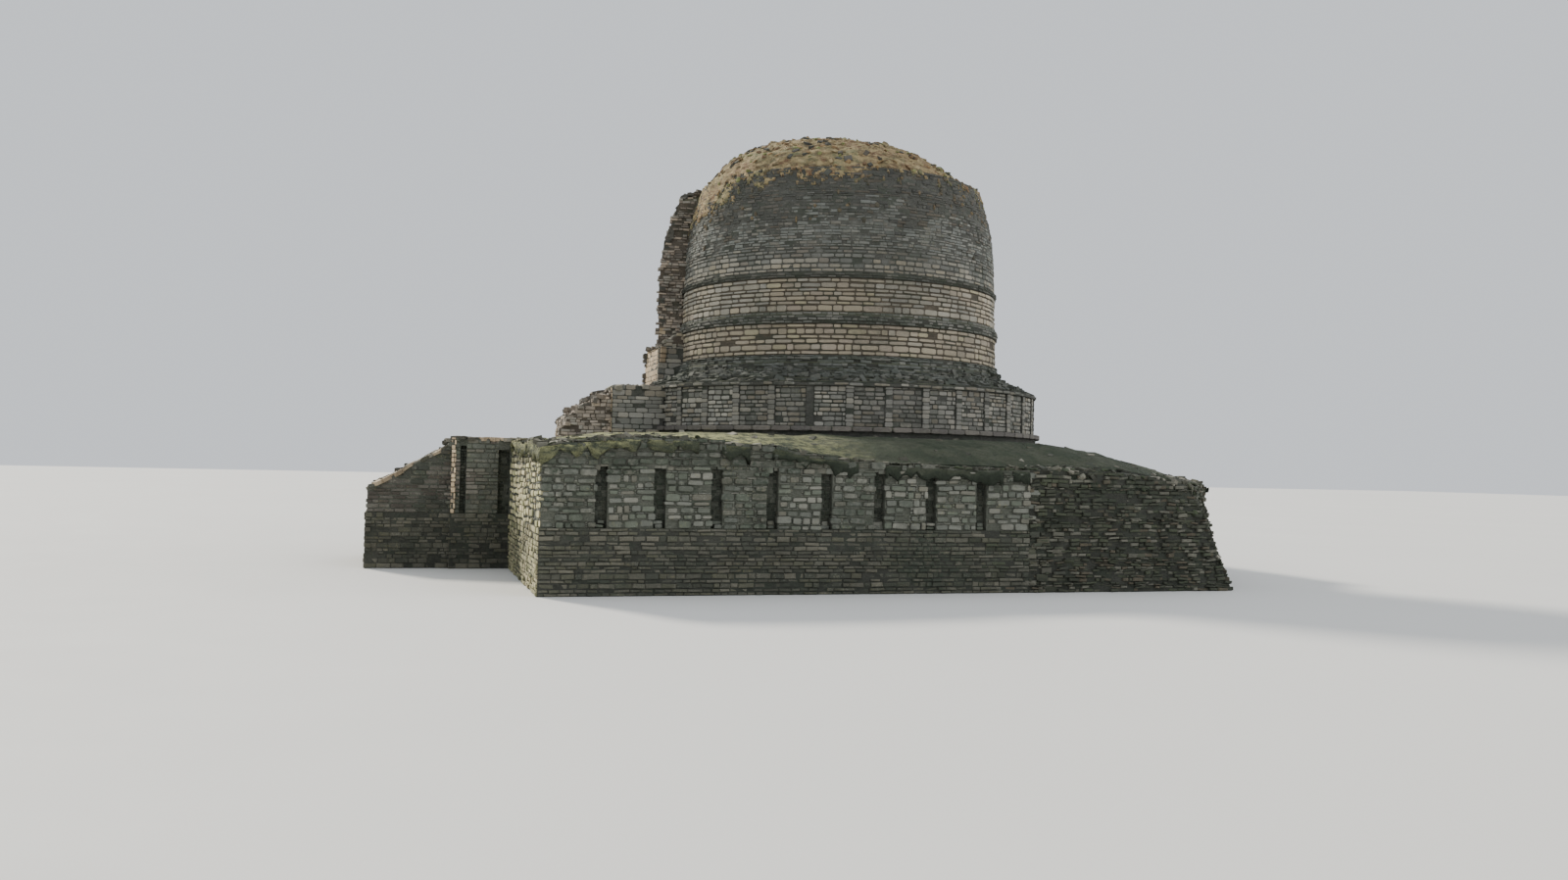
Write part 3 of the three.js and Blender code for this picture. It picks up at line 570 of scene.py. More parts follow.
# The packing between the stones is the CAD solids themselves, in these finishes.
CLOTHED = {
    "podium_joints": (
        *WALLS, "stair_flank_front", "stair_flank_back", "stair_landing", "stair_core",
    ),
    "dark_joints": (
        "front_footing", "right_footing", "back_footing", "left_footing", "stair_footing",
        "dome_berm", "lower_string", "upper_string",
    ),
    "brown_joints": ("upper_stair_core", "standing_rib", "rib_foot"),
    "grey_joints": (
        "drum_wall", "drum_plinth", "drum_coping", "drum_core", "upper_flank_front",
        "upper_flank_back", "dome_core", "dome_rubble", "foot_block", "small_courses",
    ),
    "fill_earth": ("podium_core",),
    "corner_joints": ("fallen_corner",),
    "warm_joints": ("lower_band", "upper_band"),
}


def clothe_solids():
    for finish, names in CLOTHED.items():
        for name in names:
            mesh = frame["nodes"][name].data
            mesh.materials.clear()
            mesh.materials.append(bpy.data.materials[finish])


# Stones modelled once, for laying.

def deselect():
    if bpy.context.object and bpy.context.object.mode != "OBJECT":
        bpy.ops.object.mode_set(mode="OBJECT")
    bpy.ops.object.select_all(action="DESELECT")


def pick(piece):
    deselect()
    piece.select_set(True)
    bpy.context.view_layer.objects.active = piece


@contextlib.contextmanager
def editing():
    bpy.ops.object.mode_set(mode="EDIT")
    yield
    bpy.ops.object.mode_set(mode="OBJECT")


def only_faces(mesh, wanted):
    """Selects just the faces that are wanted, for edit mode."""
    for face in mesh.polygons:
        face.select = wanted(face)
    for edge in mesh.edges:
        edge.select = False
    for vertex in mesh.vertices:
        vertex.select = False
    bpy.context.tool_settings.mesh_select_mode = (False, False, True)


def knocked_about(rough, seed):
    """Moves every corner a little, in edit mode."""
    bpy.ops.mesh.select_all(action="SELECT")
    bpy.ops.transform.vertex_random(offset=rough, uniform=0.0, normal=0.0, seed=seed)


def round_corners(stone, corner):
    """Takes the four long corners off a stone, so that its face has round ends."""
    mesh = stone.data
    for face in mesh.polygons:
        face.select = False
    for edge in mesh.edges:
        low, high = (mesh.vertices[i].co for i in edge.vertices)
        edge.select = abs(low.y - high.y) > 0.5
    bpy.context.tool_settings.mesh_select_mode = (False, True, False)
    with editing():
        bpy.ops.mesh.bevel(offset=corner, segments=1, affect="EDGES")


def model_stone(name, corner, out, across, up, rough, seed):
    """A unit stone, its front stepped out and drawn in, then knocked about."""
    deselect()
    bpy.ops.mesh.primitive_cube_add(size=1, location=(0, 0.06, 0))
    stone = bpy.context.object
    stone.name = name
    if corner:
        round_corners(stone, corner)
    only_faces(stone.data, lambda face: face.normal.y < -0.9 and face.center.y < 0)
    with editing():
        bpy.ops.mesh.extrude_region_move(TRANSFORM_OT_translate={"value": (0, -out, 0)})
        bpy.ops.transform.resize(value=(across, 1, up))
    front = min(v.co.y for v in stone.data.vertices)
    rim = [min(1.0, (v.co.y - front) / out) for v in stone.data.vertices]
    with editing():
        knocked_about(rough, seed)
    bpy.ops.object.transform_apply(location=True, rotation=True, scale=True)
    marks = stone.data.attributes.new("rim", "FLOAT", "POINT")
    marks.data.foreach_set("value", rim)
    return stone


def in_set_order():
    """Numbers the corners that a cut has just made by their distance from a skew place.

    The cut leaves them selected, in an order that changes from run to run. The
    corners that were there before it keep their numbers.
    """
    cursor = bpy.context.scene.cursor
    cursor.location = (1.3, 2.1, 3.7)
    bpy.ops.mesh.sort_elements(type="CURSOR_DISTANCE", elements={"VERT"})
    cursor.location = (0, 0, 0)


def model_clod(name, rough, seed):
    """A low clod of earth, cut flat underneath, and the same one each run."""
    deselect()
    bpy.ops.mesh.primitive_uv_sphere_add(segments=8, ring_count=5, radius=0.5)
    clod = bpy.context.object
    clod.name = name
    with editing():
        bpy.ops.mesh.select_all(action="SELECT")
        bpy.ops.mesh.bisect(
            plane_co=(0, 0.15, 0), plane_no=(0, 1, 0), use_fill=True, clear_outer=True,
        )
        in_set_order()
        bpy.ops.mesh.select_more()
    at_cut = [face.select for face in clod.data.polygons]
    with editing():
        knocked_about(rough, seed)
    only_faces(clod.data, lambda face: at_cut[face.index])
    with editing():
        bpy.ops.mesh.quads_convert_to_tris(
            quad_method="SHORTEST_DIAGONAL", ngon_method="BEAUTY",
        )
    bpy.ops.object.shade_smooth()
    return clod


def model_set(name, model, *shape):
    """The models of one sort, in a collection, and the nodes that lay them."""
    group = bpy.data.collections.new(name)
    bpy.context.scene.collection.children.link(group)
    for number in range(KINDS):
        stone = model(f"{name}_{number}", *shape, number + 1)
        for holder in list(stone.users_collection):
            holder.objects.unlink(stone)
        group.objects.link(stone)
    laying_nodes(group)
    return group


def laying_nodes(group):
    tree = bpy.data.node_groups.new(f"lay_{group.name}", "GeometryNodeTree")
    for way in ("INPUT", "OUTPUT"):
        tree.interface.new_socket("Geometry", in_out=way, socket_type="NodeSocketGeometry")
    start = tree.nodes.new("NodeGroupInput")
    end = tree.nodes.new("NodeGroupOutput")
    stones = tree.nodes.new("GeometryNodeCollectionInfo")
    stones.inputs["Collection"].default_value = group
    stones.inputs["Separate Children"].default_value = True
    stones.inputs["Reset Children"].default_value = True

    def stored(name, kind):
        node = tree.nodes.new("GeometryNodeInputNamedAttribute")
        node.data_type = kind
        node.inputs["Name"].default_value = name
        return node.outputs["Attribute"]

    turn = tree.nodes.new("FunctionNodeEulerToRotation")
    laid = tree.nodes.new("GeometryNodeInstanceOnPoints")
    laid.inputs["Pick Instance"].default_value = True
    real = tree.nodes.new("GeometryNodeRealizeInstances")
    for source, target in (
        (stored("turn", "FLOAT_VECTOR"), turn.inputs["Euler"]),
        (start.outputs["Geometry"], laid.inputs["Points"]),
        (stones.outputs["Instances"], laid.inputs["Instance"]),
        (stored("kind", "INT"), laid.inputs["Instance Index"]),
        (turn.outputs["Rotation"], laid.inputs["Rotation"]),
        (stored("size", "FLOAT_VECTOR"), laid.inputs["Scale"]),
        (laid.outputs["Instances"], real.inputs["Geometry"]),
        (real.outputs["Geometry"], end.inputs["Geometry"]),
    ):
        tree.links.new(source, target)


# How stones are chosen and laid.

def between(table, at):
    """The value at a place in a table of (place, value) pairs."""
    keys = [key for key, _ in table]
    right = min(max(bisect.bisect_right(keys, at), 1), len(table) - 1)
    (a, low), (b, high) = table[right - 1], table[right]
    share = min(max((at - a) / (b - a), 0), 1)
    return low + (high - low) * share


def patch(place, size, offset=0.0):
    """A slow patchiness over the masonry, from 0 to 1."""
    at = Vector(place) / size + Vector((offset, offset * 0.7, -offset))
    return min(max(noise.noise(at) * 0.9 + 0.5, 0), 1)


def tones_of(tones, warm=None, warm_share=0.0, shade=1.0, vary=0.26):
    """Picks a stone's tone from its sort, with patches that are warmer or darker."""
    def tone(place, dice):
        picked = dice.choice(tones)
        if warm and patch(place, 2.3, 5.0) < warm_share:
            picked = dice.choice(warm)
        light = shade * (
            1 + vary * (patch(place, 1.7, 11.0) - 0.5) + dice.uniform(-0.08, 0.08))
        return tuple(value * light for value in picked)
    return tone


def painted_side_light(tone_of, slope=0.045, right_light=0.0):
    """A tone with painted light and shade: darker down the middle of the front and the back,
    lighter towards the sides, and lighter still towards the right.
    """
    def tone(place, dice):
        light = 1 + slope * (min(abs(place[0]), 7) - 3) + right_light * min(max(place[0], 0), 7)
        return tuple(value * light for value in tone_of(place, dice))
    return tone


def damp(base, high):
    """How mossy a stone is: a base share, and more in damp patches."""
    def moss(place, dice):
        return min(1, base + high * max(0, patch(place, 2.6, 3.0) - 0.45) * 2
                   + dice.uniform(0, 0.1))
    return moss


class Sort:
    """How one sort of stone is laid: its sizes in metres, how far it stands out, its tones."""

    def __init__(self, length, tone, moss, proud=(0, 0.03), gap=0.012, deep=0.24, lean=0.02,
                 thick=(0.08, 0.2), wide=(0.2, 0.36), sink=0.4, uneven=0.0,
                 keep=lambda *_: True):
        self.length = length
        self.tone = tone
        self.moss = moss
        self.proud = proud
        self.gap = gap
        self.deep = deep
        self.lean = lean
        self.thick = thick
        self.wide = wide
        self.sink = sink
        self.uneven = uneven
        self.keep = keep


def rows(low, high, dice, least, most):
    """Bed heights of courses between two levels."""
    beds = []
    z = low
    while z < high - least * 0.4:
        height = min(dice.uniform(least, most), high - z)
        if high - z - height < least * 0.4:
            height = high - z
        beds.append((z, height))
        z += height
    return beds


def set_rows(low, high, heights):
    """Courses of given heights, from the lowest up, stretched to fit between two levels."""
    stretch = (high - low) / sum(heights)
    beds = []
    for height in heights:
        beds.append((low, height * stretch))
        low += height * stretch
    return beds


def lengths(dice, start, end, least, most, shortest=0.0):
    """Middles and lengths, drawn one after another along a line; a short rest is joined on."""
    while start < end - 0.05:
        length = min(dice.uniform(least, most), end - start)
        if end - start - length < shortest:
            length = end - start
        yield start + length / 2, length
        start += length


def square(half):
    """The area of a square round the axis, as its lowest and highest x and y."""
    return (-half, half, -half, half)


def spots_over(dice, x_low, x_high, y_low, y_high, spacing):
    """Spots spread unevenly over a rectangle."""
    across = max(1, round((x_high - x_low) / spacing))
    deep = max(1, round((y_high - y_low) / spacing))
    return [
        (x_low + (i + dice.uniform(0.1, 0.9)) * (x_high - x_low) / across,
         y_low + (j + dice.uniform(0.1, 0.9)) * (y_high - y_low) / deep)
        for i in range(across) for j in range(deep)
    ]


def lying(normal, heading):
    """The turn of a stone that lies with its worked face along a normal."""
    along = Vector((math.cos(heading), math.sin(heading), 0))
    along = (along - normal * along.dot(normal)).normalized()
    return Matrix((along, -normal, along.cross(-normal))).transposed().to_euler()


class Course:
    """Stones to be laid as one piece: where each goes, how big it is and its tone."""

    def __init__(self, seed):
        self.dice = random.Random(seed)
        self.places = []
        self.sizes = []
        self.turns = []
        self.kinds = []
        self.tones = []
        self.mosses = []

    def put(self, place, size, turn, tone, moss):
        self.places.append(tuple(place))
        self.sizes.extend(size)
        self.turns.extend(turn)
        self.kinds.append(self.dice.randrange(KINDS))
        self.tones.extend((*tone, 1.0))
        self.mosses.append(moss)

    def put_on(self, face, along, level, proud, size, lean, tone_of, moss):
        """One stone on a face; its moss is a share, or the range of one."""
        place, turn = face(along, level, proud)
        tone = tone_of(place, self.dice)
        if isinstance(moss, tuple):
            moss = self.dice.uniform(*moss)
        self.put(place, size, (lean[0], lean[1], turn + lean[2]), tone, moss)

    def lay_beds(self, face, start, end, beds, sort):
        """Lays stones side by side in beds along a face that gives place and turn."""
        dice = self.dice
        for low, height in beds:
            along = start - dice.uniform(0, sort.length[0]) * 0.5
            while along < end:
                length = dice.uniform(*sort.length)
                left, right = max(along, start), min(along + length, end)
                along += length
                middle, level = (left + right) / 2, low + height / 2
                if right - left < sort.length[0] * 0.3 or not sort.keep(middle, level):
                    continue
                spot = face(middle, level, dice.uniform(*sort.proud) - sort.deep / 2)
                if spot is None:
                    continue
                place, turn = spot
                tall = height * (1 - dice.uniform(0, sort.uneven))
                size = (max(right - left - dice.uniform(sort.gap, sort.gap * 2), 0.04),
                        sort.deep,
                        max(tall - dice.uniform(sort.gap, sort.gap * 1.6), height * 0.5))
                lean = [dice.uniform(-sort.lean, sort.lean) for _ in range(3)]
                self.put(place, size, (lean[0], lean[1], turn + lean[2]),
                         sort.tone(place, dice), sort.moss(place, dice))

    def lay_up(self, face, start, end, low, high, heights, sort):
        """Lays uneven beds, least to most high, from one level up to another."""
        self.lay_beds(face, start, end, rows(low, high, self.dice, *heights), sort)

    def drop(self, place, normal, sort):
        """One loose stone or clod, partly sunk in what it lies on."""
        dice = self.dice
        size = (dice.uniform(*sort.length), dice.uniform(*sort.thick), dice.uniform(*sort.wide))
        tilt = Vector([dice.uniform(-sort.lean, sort.lean) for _ in range(3)])
        place = place + normal * size[1] * (0.5 - sort.sink)
        self.put(place, size, lying((normal + tilt).normalized(), dice.uniform(0, 2 * math.pi)),
                 sort.tone(place, dice), sort.moss(place, dice))

    def strew(self, ground, area, spacing, sort):
        """Loose stones or clods on whatever lies under the spots of an area."""
        for x, y in spots_over(self.dice, *area, spacing):
            hit = ground.seen((x, y, WELL_ABOVE), (0, 0, -1))
            if hit and hit[1].z > 0.25 and sort.keep(x, y):
                self.drop(*hit, sort)


def lay(name, course, model, finish, slot):
    """Lays a course as one joined piece that rides on the part."""
    mesh = bpy.data.meshes.new(name)
    mesh.from_pydata(course.places, [], [])
    for key, kind, field, values in (
        ("size", "FLOAT_VECTOR", "vector", course.sizes),
        ("turn", "FLOAT_VECTOR", "vector", course.turns),
        ("kind", "INT", "value", course.kinds),
        ("tone", "FLOAT_COLOR", "color", course.tones),
        ("moss", "FLOAT", "value", course.mosses),
    ):
        mesh.attributes.new(key, kind, "POINT").data.foreach_set(field, values)
    piece = bpy.data.objects.new(name, mesh)
    bpy.context.scene.collection.objects.link(piece)
    apply(piece, "NODES", node_group=bpy.data.node_groups[f"lay_{model}"])
    for key in ("size", "turn", "kind"):
        if key in piece.data.attributes:
            piece.data.attributes.remove(piece.data.attributes[key])
    finish_piece(piece, finish, slot)
    return piece


def apply(piece, kind, **values):
    """Adds one modifier to a piece and applies it."""
    pick(piece)
    modifier = piece.modifiers.new("change", kind)
    for key, value in values.items():
        setattr(modifier, key, value)
    bpy.ops.object.modifier_apply(modifier="change")


def finish_piece(piece, finish, slot):
    piece.data.materials.clear()
    piece.data.materials.append(bpy.data.materials[finish])
    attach(piece, "root")


# Faces to lay on: each gives the place and turn of a stone, along it and up it.

def side_face(side, out):
    """One upright side of the podium, at a distance from its middle."""
    turn = side * math.pi / 2
    x, y = out * math.sin(turn), -out * math.cos(turn)

    def face(along, height, proud):
        place = (
            x + along * math.cos(turn) + proud * math.sin(turn),
            y + along * math.sin(turn) - proud * math.cos(turn), height,
        )
        return place, turn
    return face


def round_face(radius, start):
    """A face round the axis; along is measured from an angle."""
    def face(along, height, proud):
        angle = start + along / radius
        out = radius + proud
        return (out * math.cos(angle), out * math.sin(angle), height), angle + math.pi / 2
    return face


def path_face(foot, head, heights):
    """The battered face of the fallen corner, along its foot."""
    gone = [0.0]
    for (ax, ay), (bx, by) in zip(foot, foot[1:]):
        gone.append(gone[-1] + math.hypot(bx - ax, by - ay))

    def face(along, height, proud):
        right = min(max(bisect.bisect_right(gone, along), 1), len(gone) - 1)
        share = (along - gone[right - 1]) / (gone[right] - gone[right - 1])
        top = heights[right - 1] + (heights[right] - heights[right - 1]) * share
        up = min(height / top, 1)

        def at(which, axis):
            return foot[which][axis] + (head[which][axis] - foot[which][axis]) * up
        ax, ay, bx, by = at(right - 1, 0), at(right - 1, 1), at(right, 0), at(right, 1)
        turn = math.atan2(by - ay, bx - ax)
        x, y = ax + (bx - ax) * share, ay + (by - ay) * share
        return (x + proud * math.sin(turn), y - proud * math.cos(turn), height), turn
    return face, gone[-1]


class Ground:
    """The faces of some meshes, for stones to be set against."""

    def __init__(self, *meshes):
        points, faces = [], []
        for mesh in meshes:
            first = len(points)
            points.extend(vertex.co.copy() for vertex in mesh.vertices)
            faces.extend([first + corner for corner in face.vertices] for face in mesh.polygons)
        self.tree = BVHTree.FromPolygons(points, faces)

    def seen(self, start, direction):
        """The place and normal of the first face met along a direction."""
        place, normal, _, _ = self.tree.ray_cast(Vector(start), Vector(direction))
        return (place, normal) if place else None

    def inwards(self, start, out, least):
        """The same, looking in along a level direction, on faces that face that way."""
        hit = self.seen(start, -out)
        return hit[0] if hit and hit[1].dot(out) >= least else None


def solids(*names):
    return Ground(*(frame["nodes"][name].data for name in names))


def outwards(angle):
    return Vector((math.cos(angle), math.sin(angle), 0))


def flat_against(ground, x, y, turn, reach=3.0):
    """An upright face through a point, following the solids that it meets."""
    out = Vector((math.sin(turn), -math.cos(turn), 0))
    sideways = outwards(turn)

    def face(along, height, proud):
        start = Vector((x, y, height)) + sideways * along + out * reach
        place = ground.inwards(start, out, 0.3)
        return (tuple(place + out * proud), turn) if place else None
    return face


def round_against(ground, start, reference):
    """A face round the axis, following the solids that it meets."""
    def face(along, height, proud):
        angle = start + along / reference
        out = outwards(angle)
        place = ground.inwards(out * WELL_OUT + Vector((0, 0, height)), out, 0.2)
        return (tuple(place + out * proud), angle + math.pi / 2) if place else None
    return face


# The podium.

def slots_of(start, end):
    return [
        -HALF + BAY * number for number in range(SLOTS)
        if start + 2 * SLOT_HALF < -HALF + BAY * number < end - 2 * SLOT_HALF
    ]


class Facing:
    """The facing of one wall: its blocks, the slabs packed between them, its worn top."""

    def __init__(self, number, side, top):
        self.blocks = Course(100 + number)
        self.slabs = Course(110 + number)
        self.face = side_face(side, HALF)
        # The left side is painted sunlit.
        self.tones = LIT_BLOCKS if side == LEFT else GREY_BLOCKS
        self.top = top

    def panel(self, left, right, low, high, shade):
        """Uneven beds of blocks between two levels of the wall."""
        dice = self.blocks.dice
        while low < high - 0.08:
            height = min(dice.uniform(0.15, 0.29), high - low)
            thick = min(dice.choice((0.0, 0.04, 0.05, 0.07)), high - low - height)
            self.bed(left, right, low, height, shade)
            if thick > 0.02:
                self.levelling(left, right, low + height, thick, shade)
            low += height + thick

    def bed(self, left, right, low, height, shade):
        """One course of large blocks, with thin slabs packed between them."""
        dice = self.blocks.dice
        along = left + dice.uniform(-0.08, 0.08)
        right += dice.uniform(-0.08, 0.08)
        tone_of = tones_of(self.tones, shade=shade)
        while along < right - 0.12:
            length = min(dice.uniform(0.2, 0.62), right - along)
            if right - along - length < 0.2:
                length = right - along
            middle = along + length / 2
            worn = between(self.top, middle) - (low + height)
            gap = dice.uniform(0.015, 0.11)
            if worn > -0.12 and dice.random() > 0.08:
                self.block(middle, length, low, height, tone_of, 0.5 if shade < 1 else 0)
            if along + length + gap < right and worn > -0.1:
                self.packing(along + length, gap, low, height, shade)
            along += length + gap

    def block(self, middle, length, low, height, tone_of, moss):
        """One large block, mossier high up and in damp patches."""
        dice = self.blocks.dice
        tall = height * dice.uniform(0.66, 1.0)
        sway = 0.08 * (patch((middle, low * 0.4, 0), 1.5, 2.0) - 0.5)
        level = low + sway + tall / 2 + dice.uniform(0, height - tall)
        place, turn = self.face(middle, level, dice.uniform(0.02, 0.1) - BLOCK_DEEP / 2)
        lift = max(0, patch(place, 1.3, 7.0) - 0.56) * (3 if low > SLOT_TOP - 0.5 else 0.8)
        moss = min(1, dice.uniform(0.04, 0.14) + lift + moss)
        lean = [dice.uniform(-most, most) for most in (0.03, 0.045, 0.04)]
        self.blocks.put(place, (length - 0.02, BLOCK_DEEP, tall),
                        (lean[0], lean[1], turn + lean[2]), tone_of(place, dice), moss)

    def packing(self, start, gap, low, height, shade):
        """Two or three thin slabs in a gap between blocks."""
        dice = self.slabs.dice
        if gap < 0.045 or dice.random() < 0.3:
            return
        count = dice.choice((2, 3))
        step = height / count
        for number in range(count):
            self.slabs.put_on(
                self.face, start + gap / 2, low + step * (number + 0.5),
                dice.uniform(0.0, 0.05) - 0.1,
                (gap * dice.uniform(0.8, 1.05), 0.2, step * dice.uniform(0.6, 0.95)),
                (0, dice.uniform(-0.05, 0.05), 0), tones_of(PACKING_SLABS, shade=shade),
                (0, 0.4))

    def levelling(self, left, right, low, thick, shade):
        """A thin bed of slabs that levels up for the next course."""
        dice = self.slabs.dice
        tone_of = tones_of(PACKING_SLABS + GREY_BLOCKS[3:4], shade=shade)
        for middle, length in lengths(dice, left, right, 0.16, 0.46):
            if between(self.top, middle) > low - 0.1 and dice.random() > 0.14:
                self.slabs.put_on(
                    self.face, middle, low + thick / 2, dice.uniform(0.0, 0.07) - 0.12,
                    (length * 0.95, 0.24, thick * dice.uniform(0.6, 0.95)),
                    (dice.uniform(-0.03, 0.03), dice.uniform(-0.03, 0.03), 0), tone_of,
                    (0, 0.4))

    def slot_ends(self, slot):
        """Blocks that hang into the head of an empty slot, and rubble at its foot."""
        dice = self.blocks.dice
        tone_of = tones_of(self.tones, shade=0.95)
        for side in (-1, 1):
            tall = dice.uniform(0.1, 0.24)
            self.blocks.put_on(
                self.face, slot + side * dice.uniform(0.08, 0.2), SLOT_TOP + 0.03 - tall / 2,
                dice.uniform(-0.1, 0.04) - BLOCK_DEEP / 2,
                (dice.uniform(0.18, 0.4), BLOCK_DEEP, tall),
                (0, dice.uniform(-0.08, 0.08), 0), tone_of, 0.3)
        for level in (0.08, 0.22):
            self.blocks.put_on(
                self.face, slot + dice.uniform(-0.1, 0.1), FACE_FROM + level,
                dice.uniform(-0.16, -0.04) - BLOCK_DEEP / 2,
                (dice.uniform(0.24, 0.42), BLOCK_DEEP, dice.uniform(0.1, 0.17)),
                (0, dice.uniform(-0.1, 0.1), dice.uniform(-0.1, 0.1)), tone_of, 0.3)


def lay_ragged_end(course, face, tone_of, low, high, reach):
    """Stones that still bond into the fallen corner where the wall breaks off."""
    dice = course.dice
    for low, height in rows(low, high, dice, 0.15, 0.27):
        if dice.random() < 0.6:
            course.put_on(
                face, FACE_END + dice.uniform(0.0, reach), low + height / 2,
                dice.uniform(-0.02, 0.06) - BLOCK_DEEP / 2,
                (dice.uniform(0.3, 0.55), BLOCK_DEEP, height * 0.85),
                (0, dice.uniform(-0.05, 0.05), 0), tone_of, 0.1)


def lay_wall(name, number, side, start, end, top):
    """The faced bays of one side, the band over them, and the rubble behind the slots."""
    facing = Facing(number, side, top)
    slots = slots_of(start, end)
    lefts = [start] + [slot + SLOT_HALF for slot in slots]
    rights = [slot - SLOT_HALF for slot in slots] + [end]
    for left, right in zip(lefts, rights):
        # Bays on the left side are painted lighter still, as sunlit.
        shade = facing.blocks.dice.uniform(0.9, 1.12) * (1.34 if side == LEFT else 1)
        facing.panel(left, right, FACE_FROM + 0.01, SLOT_TOP, shade)
    for slot in slots:
        facing.slot_ends(slot)
    facing.panel(start, end, SLOT_TOP, max(height for _, height in top), 0.7)
    if side == FRONT:
        lay_ragged_end(
            facing.blocks, facing.face, tones_of(facing.tones), FACE_FROM, 4.7, 0.22)
    lay(f"{name}_blocks", facing.blocks, "block", "podium_facing", "grey_schist_facing")
    lay(f"{name}_packing", facing.slabs, "rubble", "podium_facing", "grey_schist_facing")

    course = Course(130 + number)
    back = side_face(side, HALF - SLOT_DEPTH)
    # Slot rubble is painted dark, as shade in the slots.
    sort = Sort((0.14, 0.3), tones_of(SLOT_RUBBLE), damp(0.25, 0.8), proud=(-0.03, 0.06),
                deep=0.2)
    for slot in slots:
        course.lay_up(back, slot - SLOT_HALF, slot + SLOT_HALF, FACE_FROM, SLOT_TOP,
                      (0.09, 0.2), sort)
    lay(f"{name}_slot_backs", course, "rubble", "damp_rubble", "grey_schist_facing")


def mixed_at_end(own, other):
    """Stones of two sorts that mix beside the end of the facing, under the facing's foot."""
    def tone(place, dice):
        share = 0.55 - abs(place[0] - FACE_END) / 5 if place[2] < FACE_FROM else 0
        return tones_of(other if dice.random() < share else own)(place, dice)
    return tone


def lay_footing(name, number, side, start, end):
    course = Course(200 + number)
    # The left footing is painted sunlit, like the wall above it.
    tones = LIT_BLOCKS if side == LEFT else FOOTING_RUBBLE
    tone_of = mixed_at_end(tones, CORNER_RUBBLE) if side == FRONT else tones_of(tones)
    sort = Sort((0.22, 0.62), tone_of, damp(0.12, 0.7), proud=(-0.01, 0.08),
                deep=BLOCK_DEEP, lean=0.05, uneven=0.25)
    face = side_face(side, FOOTING_EDGE)
    course.lay_up(face, start, end, 0.0, FACE_FROM, (0.11, 0.24), sort)
    if side == FRONT:
        for reach in (0.6, 1.4):
            lay_ragged_end(course, face, tone_of, 0.0, FACE_FROM, reach)
    lay(name, course, "rubble", "rough_rubble", "dark_footing_rubble")


def lay_podium():
    for number, (name, wall) in enumerate(WALLS.items()):
        lay_wall(name, number, *wall)
    for number, (name, footing) in enumerate(FOOTINGS.items()):
        lay_footing(name, number, *footing)


def lay_fallen_corner():
    course = Course(300)
    along_foot, length = path_face(CORNER_FOOT, CORNER_HEAD, CORNER_HEIGHT)
    corner = solids("fallen_corner")

    def face(along, height, proud):
        start, turn = along_foot(along, height, 1.2)
        out = Vector((math.sin(turn), -math.cos(turn), 0))
        hit = corner.seen(start, -out)
        return (tuple(hit[0] + out * proud), turn) if hit else None

    steps = len(CORNER_HEIGHT) - 1
    tops = [(i * length / steps, height) for i, height in enumerate(CORNER_HEIGHT)]
    sort = Sort(
        (0.14, 0.52), mixed_at_end(CORNER_RUBBLE, FOOTING_RUBBLE), damp(0.1, 0.7),
        proud=(-0.04, 0.15), gap=0.01, deep=0.36, lean=0.12, uneven=0.35,
        keep=lambda along, height: (
            height < between(tops, along) + 0.04 and course.dice.random() > 0.05),
    )
    course.lay_up(face, 0.0, length, 0.0, CORNER_TOP, (0.06, 0.19), sort)
    lay("fallen_corner_stones", course, "rubble", "damp_rubble", "fallen_corner_rubble")


# Earth, with its surface heaved into lumps.

def copied(name, *node_names):
    """One joined copy of the surfaces of some solids."""
    copies = []
    for node_name in node_names:
        copy = bpy.data.objects.new(name, frame["nodes"][node_name].data.copy())
        bpy.context.scene.collection.objects.link(copy)
        copies.append(copy)
    pick(copies[0])
    for copy in copies:
        copy.select_set(True)
    if len(copies) > 1:
        bpy.ops.object.join()
    with editing():
        bpy.ops.mesh.select_all(action="SELECT")
        bpy.ops.mesh.remove_doubles(threshold=0.0005)
    return copies[0]


def drop_faces(piece, unwanted):
    pick(piece)
    only_faces(piece.data, unwanted)
    with editing():
        bpy.ops.mesh.delete(type="FACE")


def divide(piece, cuts, wanted):
    """Cuts the wanted faces up finely and puts them in a group, to be heaved."""
    pick(piece)
    only_faces(piece.data, wanted)
    with editing():
        bpy.ops.mesh.subdivide(number_cuts=cuts)
        bpy.ops.object.vertex_group_add()
        bpy.ops.object.vertex_group_assign()
    return piece.vertex_groups[-1].name


def heave(piece, layers, level, group="", direction="NORMAL"):
    """Moves a surface out and in by clouds of several sizes; layers are (size, height)."""
    for size, height in layers:
        texture = bpy.data.textures.new("lumps", "CLOUDS")
        texture.noise_scale = size
        apply(piece, "DISPLACE", texture=texture, texture_coords="LOCAL", strength=height,
              mid_level=level, vertex_group=group, direction=direction)


def finish_earth(piece, finish, slot):
    pick(piece)
    bpy.ops.object.shade_smooth()
    finish_piece(piece, finish, slot)


def filler():
    """A sloping sheet that spans the pocket under the upper flight."""
    deselect()
    bpy.ops.mesh.primitive_plane_add(
        size=1, location=POCKET_PLACE, rotation=(0, -POCKET_SLOPE, 0),
    )
    sheet = bpy.context.object
    sheet.scale = POCKET_SIZE
    bpy.ops.object.transform_apply(location=True, rotation=True, scale=True)
    return sheet


def rim_edges(mesh, wanted):
    """Selects just the edges with one face whose middle is wanted, for edit mode."""
    uses = {}
    for face in mesh.polygons:
        face.select = False
        for key in face.edge_keys:
            uses[key] = uses.get(key, 0) + 1
    for vertex in mesh.vertices:
        vertex.select = False
    for edge in mesh.edges:
        low, high = (mesh.vertices[i].co for i in edge.vertices)
        edge.select = uses[tuple(sorted(edge.vertices))] == 1 and wanted((low + high) / 2)
    bpy.context.tool_settings.mesh_select_mode = (False, True, False)


